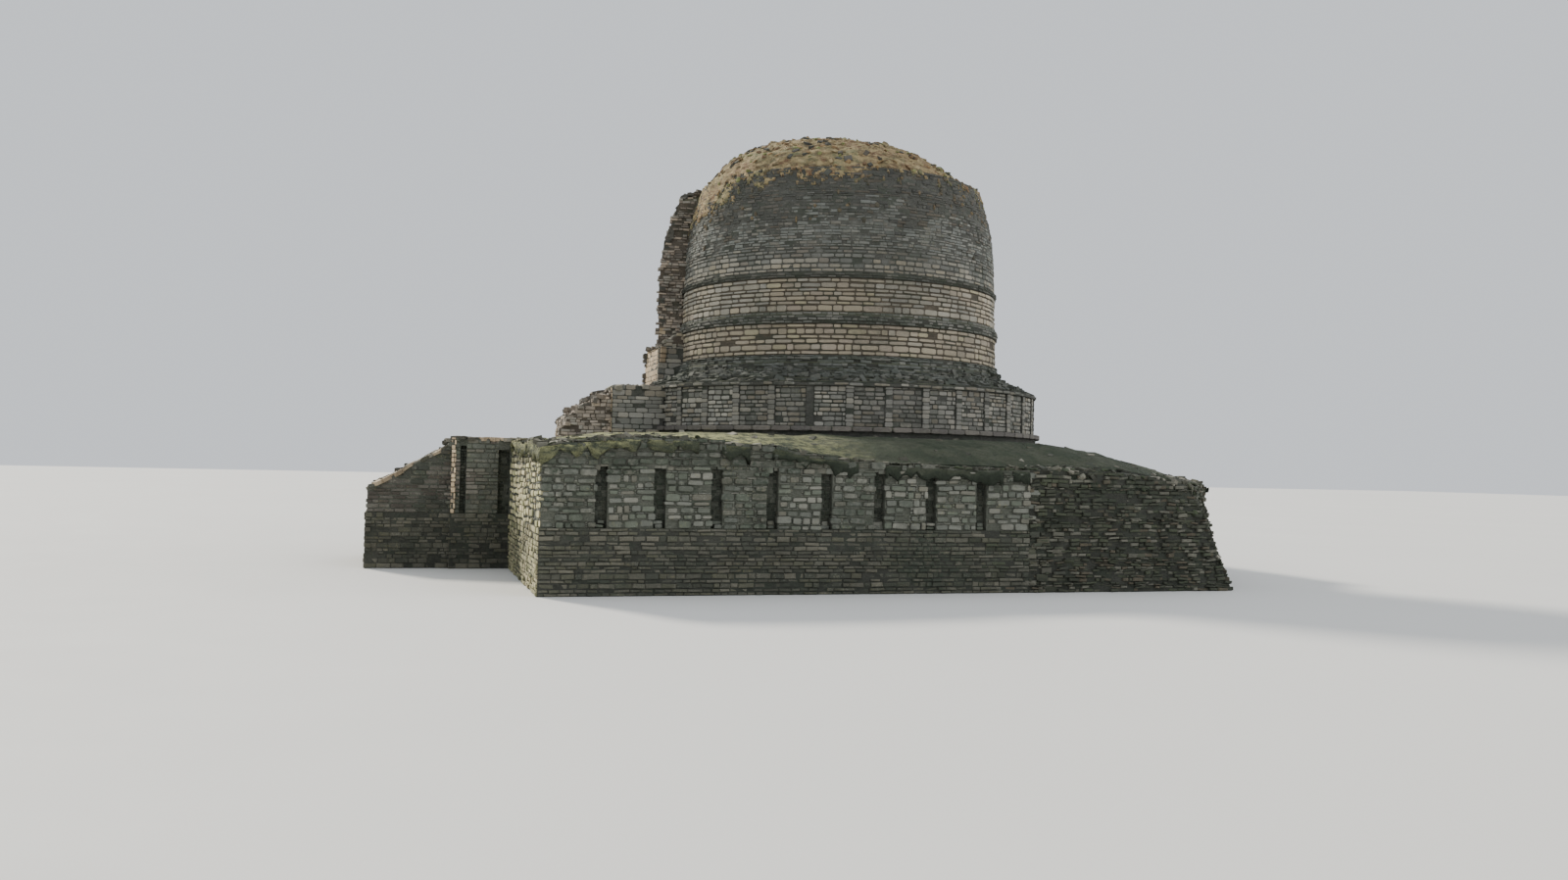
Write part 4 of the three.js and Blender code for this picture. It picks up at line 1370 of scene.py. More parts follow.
def from_middle(place):
    """How far out a place is towards the nearest side of the podium."""
    return max(abs(place[0]), abs(place[1]))


def on_outer_rim(place):
    beside_landing = place.x < 0 and abs(place.y) < STAIR_HALF + 0.5
    return from_middle(place) > 8 and place.xy.length > 12 and not beside_landing


def bare_ledge(place):
    """Whether a place at the outer edge of the walls has lost its earth."""
    at_edge = from_middle(place) > HALF - 0.7
    return at_edge and patch((place.x, place.y, 0), 1.1, 9.0) < 0.2


def uncovered(face):
    """Whether a face of the dropped sheet lies where there is no earth."""
    middle = face.center
    over_landing = middle.x < -INNER - 0.2 and abs(middle.y) < STAIR_HALF + 0.05
    low, high = BLANKET_LEVELS
    return (face.normal.z < 0.35 or not low <= middle.z <= high or over_landing
            or middle.xy.length < BLANKET_FROM_AXIS or bare_ledge(middle))


def dropped_blanket():
    """A sheet dropped on the fill and the wall tops, cut off at the fallen corner."""
    ground = copied("ground", "podium_core", *WALLS, "fallen_corner")
    sheet = filler()
    pick(ground)
    sheet.select_set(True)
    bpy.ops.object.join()
    deselect()
    count = round(2 * HALF / BLANKET_STEP)
    bpy.ops.mesh.primitive_grid_add(
        x_subdivisions=count, y_subdivisions=count, size=2 * HALF - 0.04, location=(0, 0, 9),
    )
    blanket = bpy.context.object
    blanket.name = "earth_blanket"
    bpy.ops.object.transform_apply(location=True)
    apply(blanket, "SHRINKWRAP", target=ground, wrap_method="PROJECT", use_project_z=True,
          use_negative_direction=True, use_positive_direction=False)
    bpy.data.objects.remove(ground)
    drop_faces(blanket, uncovered)
    return blanket


def lay_blanket():
    """Mossy earth over the fill and the walls, its edge hanging down over the faces."""
    blanket = dropped_blanket()
    only_faces(blanket.data, lambda face: from_middle(face.center) < HALF - 0.3)
    with editing():
        bpy.ops.mesh.vertices_smooth(factor=0.5, repeat=3)
    rim_edges(blanket.data, on_outer_rim)
    with editing():
        bpy.ops.object.vertex_group_add()
        for out, down, loose in ((1.007, 0.03, 0.0), (1.003, 0.24, 0.5), (1.002, 0.26, 1.0)):
            bpy.ops.mesh.extrude_region_move(TRANSFORM_OT_translate={"value": (0, 0, -down)})
            bpy.ops.transform.resize(value=(out, out, 1), center_override=(0, 0, 0))
            bpy.context.tool_settings.vertex_group_weight = loose
            bpy.ops.object.vertex_group_assign()
    heave(blanket, ((0.6, 1.1), (0.22, 0.5)), 0.42, blanket.vertex_groups[0].name, "Z")
    heave(blanket, ((1.1, 0.12), (0.4, 0.14), (0.17, 0.13)), 0.62)
    apply(blanket, "SOLIDIFY", thickness=0.12, offset=-1)
    finish_earth(blanket, "fill_earth", "olive_earth_fill")
    return blanket


def off_the_drum(x, y):
    """Whether a spot is on open ground, clear of the drum and the upper flight."""
    on_flight = -UPPER_FOOT < x < 0 and abs(y) < UPPER_HALF + 0.05
    return math.hypot(x, y) > STREWN_FROM_AXIS and not on_flight


def rim_strips(inner):
    """Four strips between the podium's edge and a smaller square."""
    return (
        (-HALF, HALF, -HALF, -inner), (-HALF, HALF, inner, HALF),
        (-HALF, -inner, -inner, inner), (inner, HALF, -inner, inner),
    )


def lay_fill():
    blanket = lay_blanket()
    crest = Ground(blanket.data, *(frame["nodes"][name].data for name in WALLS))
    corner = solids("fallen_corner")
    over_corner = (FACE_END, HALF, -HALF, RIGHT_START)

    lumps = Course(310)
    sort = Sort((0.2, 0.6), tones_of(FILL_EARTH), damp(0.15, 0.7), lean=0.2,
                thick=(0.08, 0.16), wide=(0.18, 0.4), sink=0.3, keep=off_the_drum)
    for strip in rim_strips(HALF - 1.0):
        lumps.strew(crest, strip, 0.6, sort)
    lumps.strew(corner, over_corner, 0.36, sort)
    lay("fill_clods", lumps, "clod", "mossy_clods", "olive_earth_fill")

    loose = Course(311)
    inner = HALF - 1.35
    sort = Sort((0.16, 0.48), tones_of(FOOTING_RUBBLE, PALE_STONES, 0.34), damp(0.1, 0.6),
                lean=0.3, thick=(0.08, 0.18), wide=(0.14, 0.34), sink=0.3, keep=off_the_drum)
    for strip in rim_strips(inner):
        loose.strew(crest, strip, 0.5, sort)
    loose.strew(corner, over_corner, 0.6, sort)
    sort.sink = 0.6
    loose.strew(crest, square(inner), 1.7, sort)
    lay("wall_top_stones", loose, "rubble", "rough_rubble", "dark_footing_rubble")


# The lower flight of steps.

def flight_sides(walls):
    """The two long faces of the lower flight, each with a way to find stretches on it."""
    for y, turn in ((-STAIR_HALF, 0.0), (STAIR_HALF, math.pi)):
        def stretch(left, right, way=math.cos(turn)):
            return sorted((way * (left - FLIGHT_MIDDLE), way * (right - FLIGHT_MIDDLE)))
        yield flat_against(walls, FLIGHT_MIDDLE, y, turn), stretch


def flank_tone(place, dice):
    """Dark stone, painted darker still beside the steps, as shade."""
    shade = 0.54 if place[0] < QUOIN[0] else 0.92
    return tones_of(GREY_BLOCKS[3:] + PACKING_SLABS[:2], BROKEN_STONES[3:], 0.4, shade)(
        place, dice)


def lay_flight_blocks(walls):
    """The faced sides of the lower flight, their quoins painted pale as sunlit, and their ends,
    painted lighter as lit.
    """
    course = Course(320)
    rough = dict(proud=(0.0, 0.06), gap=0.014, lean=0.03, uneven=0.25)
    blocks = Sort((0.22, 0.66), flank_tone, damp(0.05, 0.5), **rough)
    # The quoins are painted pale, as sunlit; the ends, facing left, are painted lighter, as
    # lit.
    quoins = Sort((0.2, 0.2), tones_of(LIT_STONES, shade=1.3), damp(0.0, 0.1),
                  proud=(0.07, 0.13), deep=BLOCK_DEEP, lean=0.02, uneven=0.1)
    ends = Sort((0.22, 0.6), tones_of(GREY_BLOCKS, shade=1.2), damp(0.05, 0.4), **rough)
    edges = [-STAIR_FOOT, *(x for slot in FLANK_SLOTS for x in slot), -HALF]
    for face, stretch in flight_sides(walls):
        for left, right in zip(edges[::2], edges[1::2]):
            course.lay_up(face, *stretch(left, right), FACE_FROM, FLANK_TOP, (0.11, 0.27),
                          blocks)
        course.lay_up(face, *stretch(*QUOIN), FACE_FROM, QUOIN_TOP, (0.16, 0.27), quoins)
    for y in (-STAIR_HALF + FLANK / 2, STAIR_HALF - FLANK / 2):
        face = flat_against(walls, -STAIR_FOOT, y, TO_LEFT)
        course.lay_up(face, -FLANK / 2, FLANK / 2, FACE_FROM, FLANK_FOOT_TOP,
                      (0.11, 0.25), ends)
    lay("lower_flight_blocks", course, "block", "podium_facing", "grey_schist_facing")


def lay_flight_rubble(walls, lit):
    """The insides of the side walls, the first riser, the slots' backs and the tops."""
    course = Course(321)
    inside = Sort((0.2, 0.5), tones_of(CORNER_RUBBLE, FOOTING_RUBBLE, 0.5), damp(0.1, 0.6),
                  proud=(-0.03, 0.06), gap=0.01, lean=0.04)
    for y, turn, ends in (
        (FLANK - STAIR_HALF, math.pi, (-2.5, 3.5)), (STAIR_HALF - FLANK, 0.0, (-3.5, 2.5)),
    ):
        face = flat_against(walls, -LANDING_END, y, turn, reach=1.5)
        course.lay_up(face, *ends, 3.2, QUOIN_TOP, (0.08, 0.16), inside)
    face = flat_against(walls, -STAIR_FOOT, 0.0, TO_LEFT)
    course.lay_up(face, FLANK - STAIR_HALF, STAIR_HALF - FLANK, FACE_FROM, FIRST_RISER_TOP,
                  (0.1, 0.2), lit)
    for slot, proud in zip(FLANK_SLOTS, ((0.1, 0.22), (-0.03, 0.05))):
        # Rubble at the slots' backs is painted dark, as shade in the slots.
        back = Sort((0.14, 0.3), tones_of(SLOT_RUBBLE), damp(0.2, 0.6), proud=proud,
                    deep=0.2)
        for face, stretch in flight_sides(walls):
            course.lay_up(face, *stretch(*slot), FACE_FROM, 5.2, (0.09, 0.18), back)
    # The tops are painted partly sunlit, among pale loose stones.
    tops = Sort((0.26, 0.55), tones_of(FOOTING_RUBBLE, PALE_STONES + LIT_STONES, 0.6),
                damp(0.05, 0.5), lean=0.12, thick=(0.1, 0.2), wide=(0.24, 0.4), sink=0.52)
    for low, high in ((-STAIR_HALF, FLANK - STAIR_HALF), (STAIR_HALF - FLANK, STAIR_HALF)):
        course.strew(walls, (-STAIR_FOOT, -INNER, low, high), 0.3, tops)
    lay("lower_flight_rubble", course, "rubble", "damp_rubble", "dark_footing_rubble")


def lay_lower_flight():
    walls = solids("stair_flank_front", "stair_flank_back", "stair_landing", "stair_core")
    # Rubble painted lighter, as sunlit, for the faces that look to the left.
    lit = Sort((0.2, 0.5), tones_of(FOOTING_RUBBLE, shade=1.3), damp(0.1, 0.5),
               proud=(-0.02, 0.06), gap=0.01, lean=0.04, uneven=0.2)
    lay_flight_blocks(walls)
    lay_flight_rubble(walls, lit)

    course = Course(322)
    base = solids("stair_footing")
    sort = Sort((0.22, 0.6), tones_of(FOOTING_RUBBLE), damp(0.12, 0.7), proud=(-0.02, 0.05),
                deep=BLOCK_DEEP)
    out = STAIR_HALF + FOOTING_OUT
    beds = rows(0.0, FACE_FROM, course.dice, 0.11, 0.24)
    for y, turn, ends in ((-out, 0.0, (-2.56, 3.49)), (out, math.pi, (-3.49, 2.56))):
        course.lay_beds(flat_against(base, FLIGHT_MIDDLE, y, turn), *ends, beds, sort)
    course.lay_beds(flat_against(base, -STAIR_FOOT, 0.0, TO_LEFT), -out, out, beds, lit)
    lay("lower_flight_footing_stones", course, "rubble", "rough_rubble",
        "dark_footing_rubble")


def lay_treads():
    """Long stones for the steps, worn at the nose."""
    course = Course(323)
    dice = course.dice
    # Treads painted lighter, as sunlit.
    tone_of = tones_of(GREY_BLOCKS, shade=1.15)
    for step in range(RISERS):
        x = -LANDING_END - (step + 0.5) * TREAD
        top = LANDING_FLOOR - RISER * (step + 1)
        for y, length in lengths(dice, -TREAD_HALF, TREAD_HALF, 0.6, 1.3, 0.35):
            place = (x - 0.01 + dice.uniform(-0.015, 0.0), y,
                     top - RISER / 2 + dice.uniform(-0.008, 0.004))
            course.put(place, (length - 0.012, TREAD, RISER), (0, 0, TO_LEFT),
                       tone_of(place, dice), dice.uniform(0.05, 0.5))
    treads = lay("tread_stones", course, "block", "podium_facing", "grey_schist_facing")
    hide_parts(*(f"tread_{number:02d}" for number in range(1, RISERS + 1)))


def lay_landing():
    """Flags on the landing."""
    course = Course(324)
    dice = course.dice
    tone_of = tones_of(GREY_BLOCKS, shade=1.15)
    x = -LANDING_END
    while x < -INNER - 0.2:
        wide = dice.uniform(0.45, 0.75)
        for y, length in lengths(dice, -TREAD_HALF, TREAD_HALF, 0.5, 1.0):
            place = (x + wide / 2, y, LANDING_FLOOR - 0.03 + dice.uniform(0, 0.03))
            course.put(place, (wide - 0.03, 0.1, length - 0.03),
                       (-math.pi / 2 + dice.uniform(-0.02, 0.02), 0, dice.uniform(-0.02, 0.02)),
                       tone_of(place, dice), dice.uniform(0.1, 0.8))
        x += wide
    lay("landing_flags", course, "block", "podium_facing", "grey_schist_facing")


# The drum and the upper flight.

def lay_drum_wall():
    """Panels of rough blocks between shallow pilasters."""
    course = Course(400)
    dice = course.dice
    step = 2 * math.pi / PILASTERS
    half = PILASTER_WIDTH / 2 / DRUM_RADIUS
    face = round_face(DRUM_RADIUS, PILASTER_TURN)
    post = round_face(PILASTER_RADIUS, PILASTER_TURN)
    pale = tones_of(DRUM_BLOCKS[:3], shade=1.06)
    for number in range(PILASTERS):
        start = (number * step + half) * DRUM_RADIUS
        end = ((number + 1) * step - half) * DRUM_RADIUS
        shade = DARK_PANELS.get(number, dice.uniform(1.06, 1.28))
        # Painted light and shade in the panels' tones: darker mid-front, lighter at the sides
        # and right.
        panel = Sort((0.24, 0.58), painted_side_light(tones_of(DRUM_BLOCKS, shade=shade), 0.06),
                     damp(0.05, 0.5), proud=(0.0, 0.05), gap=0.022, lean=0.035, uneven=0.22,
                     keep=lambda *_: dice.random() > 0.04)
        course.lay_up(face, start, end, *DRUM_WALL, (0.13, 0.26), panel)
        if number in LOST_PILASTERS:
            continue
        for low, height in rows(*DRUM_WALL, dice, 0.14, 0.26):
            if dice.random() < 0.08:
                continue
            course.put_on(
                post, number * step * PILASTER_RADIUS, low + height / 2,
                dice.uniform(0.015, 0.035) - 0.13,
                (PILASTER_WIDTH * dice.uniform(0.82, 1.14), 0.26, height * 0.92),
                (0, dice.uniform(-0.03, 0.03), 0), pale, (0, 0.25))
    lay("drum_wall_stones", course, "dressed", "drum_facing", "brown_grey_drum_facing")


def lay_drum():
    lay_drum_wall()
    moulding = Course(401)
    dice = moulding.dice
    tone_of = tones_of(MOULDING_STONES, vary=0.12)
    wide = MOULDING_EDGE * 2 * math.pi / MOULDING_STONE_COUNT - 0.02
    for number in range(MOULDING_STONE_COUNT):
        angle = (number + 0.5) * 2 * math.pi / MOULDING_STONE_COUNT
        place = (*(outwards(angle) * MOULDING_RADIUS).xy, MOULDING_LEVEL)
        moulding.put(place, (wide, 0.40, 0.215), (0, 0, angle + math.pi / 2),
                     tone_of(place, dice), dice.uniform(0.1, 0.3))
    lay("drum_moulding_stones", moulding, "block", "drum_facing", "brown_grey_drum_facing")

    coping = Course(402)
    dice = coping.dice
    tone_of = tones_of(DRUM_BLOCKS, shade=1.15)
    angle = 0.0
    while angle < 2 * math.pi - 0.02:
        wide = dice.uniform(0.035, 0.075)
        middle = angle + wide / 2
        angle += wide
        if dice.random() < 0.1:
            continue
        radius = COPING_RADIUS + dice.uniform(-0.05, 0.03)
        place = (radius * math.cos(middle), radius * math.sin(middle),
                 COPING_LEVEL + dice.uniform(-0.02, 0.03))
        coping.put(place, (wide * radius * 0.97, 0.52, dice.uniform(0.09, 0.13)),
                   (dice.uniform(-0.03, 0.03), dice.uniform(-0.03, 0.03), middle + math.pi / 2),
                   tone_of(place, dice), dice.uniform(0.1, 0.7))
    lay("drum_coping_slabs", coping, "block", "drum_facing", "brown_grey_drum_facing")


def off_the_crack(along, level):
    """Whether a stone is clear of the crack in the upper flight's side wall."""
    return level < CRACK_FROM or abs(along - CRACK_AT + 0.07 * math.sin(level * 9)) > 0.1


def lay_upper_flight():
    walls = solids("upper_flank_front", "upper_flank_back")
    course = Course(410)
    sort = Sort((0.3, 0.7), tones_of(DRUM_BLOCKS, shade=1.3), damp(0.0, 0.2),
                proud=(0.0, 0.03), gap=0.014, lean=0.015, keep=off_the_crack)
    for y, turn, ends in ((-UPPER_HALF, 0.0, (-1.0, 1.6)), (UPPER_HALF, math.pi, (-1.6, 1.0))):
        course.lay_up(flat_against(walls, UPPER_MIDDLE, y, turn), *ends, UPPER_BASE,
                      UPPER_WALL_TOP, (0.16, 0.3), sort)
    # The ends, facing left, are painted partly sunlit.
    lit = Sort((0.3, 0.6), tones_of(DRUM_BLOCKS, LIT_STONES, 0.8), damp(0.0, 0.2),
               proud=(-0.01, 0.03), gap=0.014)
    for y in (-UPPER_HALF + FLANK / 2, UPPER_HALF - FLANK / 2):
        course.lay_up(flat_against(walls, -UPPER_FACED, y, TO_LEFT), -FLANK / 2, FLANK / 2,
                      UPPER_BASE, UPPER_END_TOP, (0.14, 0.26), lit)
    lay("upper_flight_blocks", course, "dressed", "drum_facing", "brown_grey_drum_facing")

    slope = solids("upper_stair_core")
    course = Course(411)
    sort = Sort((0.2, 0.5), tones_of(BROKEN_STONES, shade=1.88), damp(0.0, 0.1),
                proud=(-0.03, 0.07), gap=0.012, lean=0.08)
    for x, y, turn, ends in (
        (-UPPER_FACED, BROKEN_IN - UPPER_HALF, 0.0, (-2.3, 0.0)),
        (-UPPER_FACED, UPPER_HALF, math.pi, (0.0, 2.3)),
        (-UPPER_FOOT, 0.0, TO_LEFT, (-UPPER_HALF, UPPER_HALF)),
    ):
        course.lay_up(flat_against(slope, x, y, turn), *ends, UPPER_BASE, UPPER_TOP,
                      (0.1, 0.2), sort)
    lay("upper_flight_broken_face", course, "rubble", "broken_core_stone",
        "broken_brown_core")

    course = Course(412)
    tops = Sort((0.24, 0.55), tones_of(BROKEN_STONES, PALE_STONES, 0.3), damp(0.05, 0.4),
                lean=0.3, thick=(0.12, 0.22), wide=(0.22, 0.4), sink=0.6)
    whole = solids("upper_stair_core", "upper_flank_front", "upper_flank_back")
    course.strew(whole, (0.45 - UPPER_FOOT, -9.95, -UPPER_HALF, UPPER_HALF), 0.36, tops)
    lay("upper_flight_rubble", course, "rubble", "rough_rubble", "broken_brown_core")


# The dome.

def course_tone(place, dice):
    """Ochre in the large lower courses, grey in the small ones over them."""
    warm = 0.75 - (place[2] - 13.9) * 1.1 + 0.9 * (patch(place, 2.4, 6.0) - 0.5)
    sort = UPPER_BLOCKS if dice.random() < warm else SMALL_STONES
    return tones_of(sort, shade=0.87)(place, dice)


def rubble_tone(place, dice):
    """Grey low on the dome, browner and darker towards the cap."""
    share = (place[2] - 15.45) / 1.4 + 1.2 * (patch(place, 2.0, 4.0) - 0.5)
    sort = UPPER_RUBBLE if dice.random() < share else LOWER_RUBBLE
    return tones_of(sort, shade=1 - 0.06 * max(0, place[2] - 15), vary=0.12)(place, dice)


def lay_ring(name, node_name, course, beds, sort, model, finish, slot):
    """Beds of stones all the way round one ring of the dome."""
    face = round_against(solids(node_name), 0, DOME_RADIUS)
    course.lay_beds(face, 0.0, 2 * math.pi * DOME_RADIUS, beds, sort)
    lay(name, course, model, finish, slot)


def lay_bands():
    dice = random.Random(506)
    dressed = dict(deep=BLOCK_DEEP, uneven=0.26, keep=lambda *_: dice.random() > 0.015)
    large = dict(length=(0.3, 0.92), moss=damp(0.02, 0.3), proud=(0.015, 0.055), gap=0.03,
                 lean=0.032, **dressed)
    for name, node_name, seed, levels, heights, sort, slot in (
        ("lower_band_blocks", "lower_band", 500, LOWER_BAND,
         (0.19, 0.31, 0.22, 0.18, 0.30, 0.20),
         Sort(tone=tones_of(OCHRE_BLOCKS, shade=1.06), **large), "ochre_band_blocks"),
        ("upper_band_blocks", "upper_band", 502, UPPER_BAND,
         (0.31, 0.18, 0.22, 0.21, 0.15, 0.26, 0.20),
         # Painted light and shade across the band: darker mid-front, lighter at the sides and
         # right.
         Sort(tone=painted_side_light(
             tones_of(UPPER_BLOCKS, OCHRE_BLOCKS, 0.42, 0.93), 0.055, 0.041), **large),
         "grey_ochre_band_blocks"),
        ("small_course_stones", "small_courses", 504, SMALL_COURSES,
         (0.16, 0.23, 0.25, 0.22, 0.16, 0.15),
         # Painted light and shade across the courses, as on the band below.
         Sort((0.28, 0.66), painted_side_light(course_tone, 0.05, 0.02), damp(0.02, 0.4),
              proud=(0.0, 0.05), gap=0.028, lean=0.03, **dressed),
         "small_grey_courses"),
    ):
        lay_ring(name, node_name, Course(seed), set_rows(*levels, heights), sort, "dressed",
                 "dressed_band_stone", slot)
    for name, node_name, seed, levels, shade in (
        ("lower_string_stones", "lower_string", 501, LOWER_STRING, 1.27),
        ("upper_string_stones", "upper_string", 503, UPPER_STRING, 0.74),
    ):
        course = Course(seed)
        sort = Sort((0.2, 0.5), tones_of(STRING_STONES, shade=shade), damp(0.15, 0.5),
                    proud=(-0.03, 0.05), gap=0.008, deep=BLOCK_DEEP, lean=0.04, uneven=0.2)
        lay_ring(name, node_name, course, rows(*levels, course.dice, 0.08, 0.15), sort,
                 "rubble", "damp_rubble", "dark_mossy_string")


def lay_dome_rubble():
    course = Course(505)
    dice = course.dice
    # Painted light and shade across the rubble, as on the bands.
    sort = Sort((0.18, 0.52), painted_side_light(rubble_tone, 0.05, 0.02), damp(0.05, 0.4),
                proud=(-0.02, 0.05), gap=0.008, deep=BLOCK_DEEP, lean=0.045, uneven=0.2,
                keep=lambda *_: dice.random() > 0.02)
    lay_ring("dome_rubble_stones", "dome_rubble", course,
             rows(*DOME_RUBBLE, dice, 0.08, 0.17), sort, "rubble", "rough_rubble",
             "dark_dome_rubble")


def lay_berm():
    """Rubble at the dome's foot: ragged courses, and loose stones on their ledges."""
    ground = solids("dome_berm")
    course = Course(510)
    sort = Sort((0.2, 0.55), tones_of(BERM_STONES, shade=1.25), damp(0.12, 0.5),
                proud=(-0.03, 0.09), gap=0.01, deep=0.34, lean=0.08, uneven=0.2)
    face = round_against(ground, 0, BERM_RADIUS)
    course.lay_up(face, 0.0, 2 * math.pi * BERM_RADIUS, *BERM, (0.09, 0.17), sort)
    flat = Sort((0.2, 0.5), tones_of(BERM_STONES), damp(0.25, 0.6), lean=0.25,
                thick=(0.08, 0.16), wide=(0.16, 0.34), sink=0.35,
                keep=lambda x, y: 8.15 < math.hypot(x, y) < 9.7)
    course.strew(ground, square(9.8), 0.36, flat)
    lay("dome_berm_stones", course, "rubble", "damp_rubble", "dark_mossy_string")


def earth_edge(place):
    """How low the cap's earth comes down the dome at a place, ragged."""
    angle = math.degrees(math.atan2(place.y, place.x)) % 360
    ragged = (0.8 * noise.noise(place * 0.9) + 0.7 * noise.noise(place * 3.1)
              + 0.5 * noise.noise(place * 7.3))
    return between(EARTH_FOOT, angle) + ragged


def hang_clods(course):
    """Clods that cling to the rubble under the cap's edge, fewer further down."""
    dice = course.dice
    rubble = solids("dome_rubble")
    sort = Sort((0.1, 0.24), tones_of(HANGING_EARTH), damp(0.1, 0.5), lean=0.25,
                thick=(0.07, 0.13), wide=(0.12, 0.34), sink=0.45)
    for _ in range(HANGING_CLODS):
        out = outwards(dice.uniform(0, 2 * math.pi))
        level = earth_edge(out * DOME_RADIUS + Vector((0, 0, 18))) + 0.2 - dice.expovariate(1.6)
        hit = rubble.seen(out * WELL_OUT + Vector((0, 0, level)), -out)
        if hit:
            course.drop(*hit, sort)


def lay_cap():
    """The cap's lumpy earth, its ragged skirt over the rubble, clods and stones on both."""
    cap = copied("cap_surface", "dome_cap")
    group = divide(cap, 3, lambda face: face.center.z > CAP_FROM)
    heave(cap, ((0.9, 0.14), (0.35, 0.16), (0.15, 0.10)), 0.82, group)
    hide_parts("dome_cap")
    finish_earth(cap, "cap_earth", "ochre_cap_earth")

    skirt = copied("cap_skirt", "dome_rubble")
    drop_faces(skirt, lambda face: (
        face.center.xy.length < SKIRT_FROM_AXIS or abs(face.normal.z) > 0.9
        or face.center.z < SKIRT_FROM
    ))
    divide(skirt, 5, lambda face: True)
    drop_faces(skirt, lambda face: face.center.z < earth_edge(face.center))
    heave(skirt, ((0.5, 0.16), (0.2, 0.12)), 0.36)
    apply(skirt, "SOLIDIFY", thickness=0.15, offset=-1)
    finish_earth(skirt, "cap_earth", "ochre_cap_earth")

    whole = Ground(cap.data, skirt.data)
    lumps = Course(520)
    sort = Sort((0.14, 0.5), tones_of(CAP_EARTH), damp(0.02, 0.45), lean=0.3,
                thick=(0.08, 0.18), wide=(0.12, 0.36), sink=0.6)
    lumps.strew(whole, square(7.2), 0.5, sort)
    hang_clods(lumps)
    lay("cap_clods", lumps, "clod", "dry_clods", "ochre_cap_earth")

    stones = Course(521)
    sort = Sort((0.16, 0.4), tones_of(UPPER_RUBBLE + CAP_EARTH), damp(0.02, 0.3),
                lean=0.2, thick=(0.08, 0.14), wide=(0.14, 0.3), sink=0.5,
                keep=lambda x, y: patch((x, y, 0), 1.4, 2.0) > 0.5)
    stones.strew(whole, square(6.9), 0.5, sort)
    lay("cap_stones", stones, "rubble", "rough_rubble", "dark_dome_rubble")


# What stands beside the dome.

def lay_foot_block():
    block = solids("foot_block")
    course = Course(600)
    grey = Sort((0.35, 0.8), tones_of(DRUM_BLOCKS, shade=1.07), damp(0.0, 0.1),
                proud=(0.0, 0.03), gap=0.01, lean=0.012)
    # The block's left face is painted sunlit.
    lit = Sort((0.3, 0.7), tones_of(LIT_STONES, shade=1.1), damp(0, 0.1),
               proud=(0.0, 0.03), gap=0.012, lean=0.015)
    beds = rows(*BLOCK, course.dice, 0.16, 0.3)
    for y, turn, ends, sort in (
        (0.2, 0.0, (0.0, 2.2), grey), (2.1, TO_LEFT, (-2.0, 2.0), lit),
        (4.05, math.pi, (-3.2, 0.1), grey),
    ):
        course.lay_beds(flat_against(block, BLOCK_SIDE, y, turn), *ends, beds, sort)
    lay("foot_block_stones", course, "dressed", "drum_facing", "grey_ochre_band_blocks")

    course = Course(601)
    tops = Sort((0.24, 0.5), tones_of(BROKEN_STONES, PALE_STONES, 0.3), damp(0.1, 0.4),
                lean=0.3, thick=(0.1, 0.22), wide=(0.2, 0.4), sink=0.3)
    course.strew(block, (BLOCK_SIDE, -7.0, 0.2, 4.1), 0.32, tops)
    lay("foot_block_top_stones", course, "rubble", "rough_rubble", "broken_brown_core")


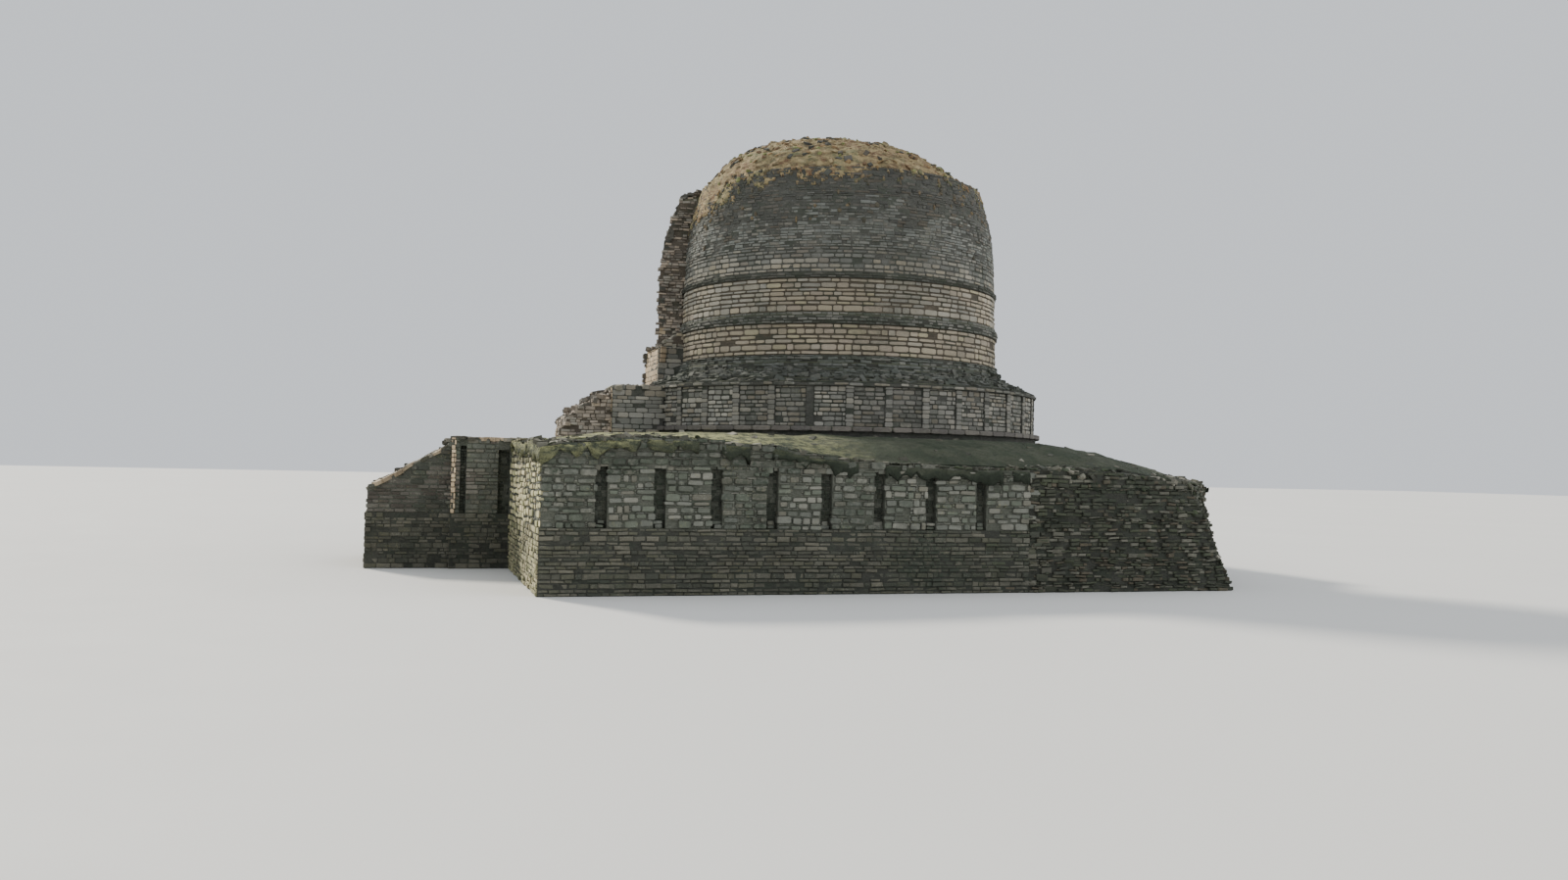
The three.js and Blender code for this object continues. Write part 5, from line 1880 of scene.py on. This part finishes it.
def lay_rib():
    rib = solids("standing_rib")
    course = Course(610)
    core = Sort((0.16, 0.44), tones_of(BROKEN_STONES, shade=1.24), damp(0.0, 0.15),
                proud=(-0.06, 0.1), gap=0.008, deep=0.34, lean=0.06, uneven=0.2)
    beds = rows(BLOCK_TOP, RIB_TOP, course.dice, 0.09, 0.18)
    for x, y, turn, half in RIB_ENDS:
        course.lay_beds(flat_against(rib, x, y, turn), -half, half, beds, core)
    lay("rib_broken_ends", course, "rubble", "broken_core_stone", "broken_brown_core")

    course = Course(611)
    # Sunlit slivers painted among the outer face's rubble.
    outer = Sort((0.24, 0.62), tones_of(UPPER_RUBBLE, LIT_STONES, 0.3), damp(0.02, 0.35),
                 proud=(-0.03, 0.05), gap=0.012, deep=BLOCK_DEEP, lean=0.05)
    span = (RIB_START - RIB_END) * RIB_RADIUS
    face = round_against(rib, RIB_END, RIB_RADIUS)
    course.lay_up(face, 0.05, span, BLOCK_TOP, RIB_TOP, (0.11, 0.24), outer)
    tops = Sort((0.2, 0.4), tones_of(UPPER_RUBBLE), damp(0.05, 0.4), lean=0.3,
                thick=(0.08, 0.16), wide=(0.16, 0.3), sink=0.5)
    course.strew(rib, (-9.1, -5.0, 0.5, 5.6), 0.3, tops)
    lay("rib_outer_stones", course, "rubble", "rough_rubble", "dark_dome_rubble")

    left = solids("rib_foot")
    course = Course(612)
    stepped = Sort((0.2, 0.42), tones_of(OCHRE_BLOCKS + DRUM_BLOCKS), damp(0.05, 0.3),
                   proud=(-0.02, 0.05), gap=0.014, lean=0.04)
    course.lay_up(flat_against(left, -8.3, 0.3, 0.0), -0.5, 0.5, BLOCK_TOP, RIB_FOOT_TOP,
                  (0.12, 0.2), stepped)
    # Loose stones on top, painted partly sunlit.
    tops = Sort((0.18, 0.36), tones_of(LIT_STONES, PALE_STONES, 0.5), damp(0.0, 0.2), lean=0.25,
                thick=(0.08, 0.16), wide=(0.16, 0.3), sink=0.25)
    course.strew(left, (-8.8, -7.85, 0.3, 1.15), 0.22, tops)
    lay("rib_foot_stones", course, "dressed", "dressed_band_stone", "grey_ochre_band_blocks")


# The order of work.

def build():
    place_camera()
    light_stage()
    groups = (
        model_set("block", model_stone, 0.15, 0.06, 0.87, 0.76, 0.045),
        model_set("dressed", model_stone, 0.15, 0.06, 0.92, 0.82, 0.018),
        model_set("rubble", model_stone, 0, 0.06, 0.8, 0.66, 0.055),
        model_set("clod", model_clod, 0.07),
    )
    mix_finishes()
    lay_podium()
    lay_fallen_corner()
    lay_fill()
    lay_lower_flight()
    lay_treads()
    lay_landing()
    lay_drum()
    lay_upper_flight()
    lay_bands()
    lay_dome_rubble()
    lay_berm()
    lay_cap()
    lay_foot_block()
    lay_rib()
    clothe_solids()
    for group in groups:
        for model in list(group.objects):
            bpy.data.objects.remove(model)
        bpy.data.collections.remove(group)


build()
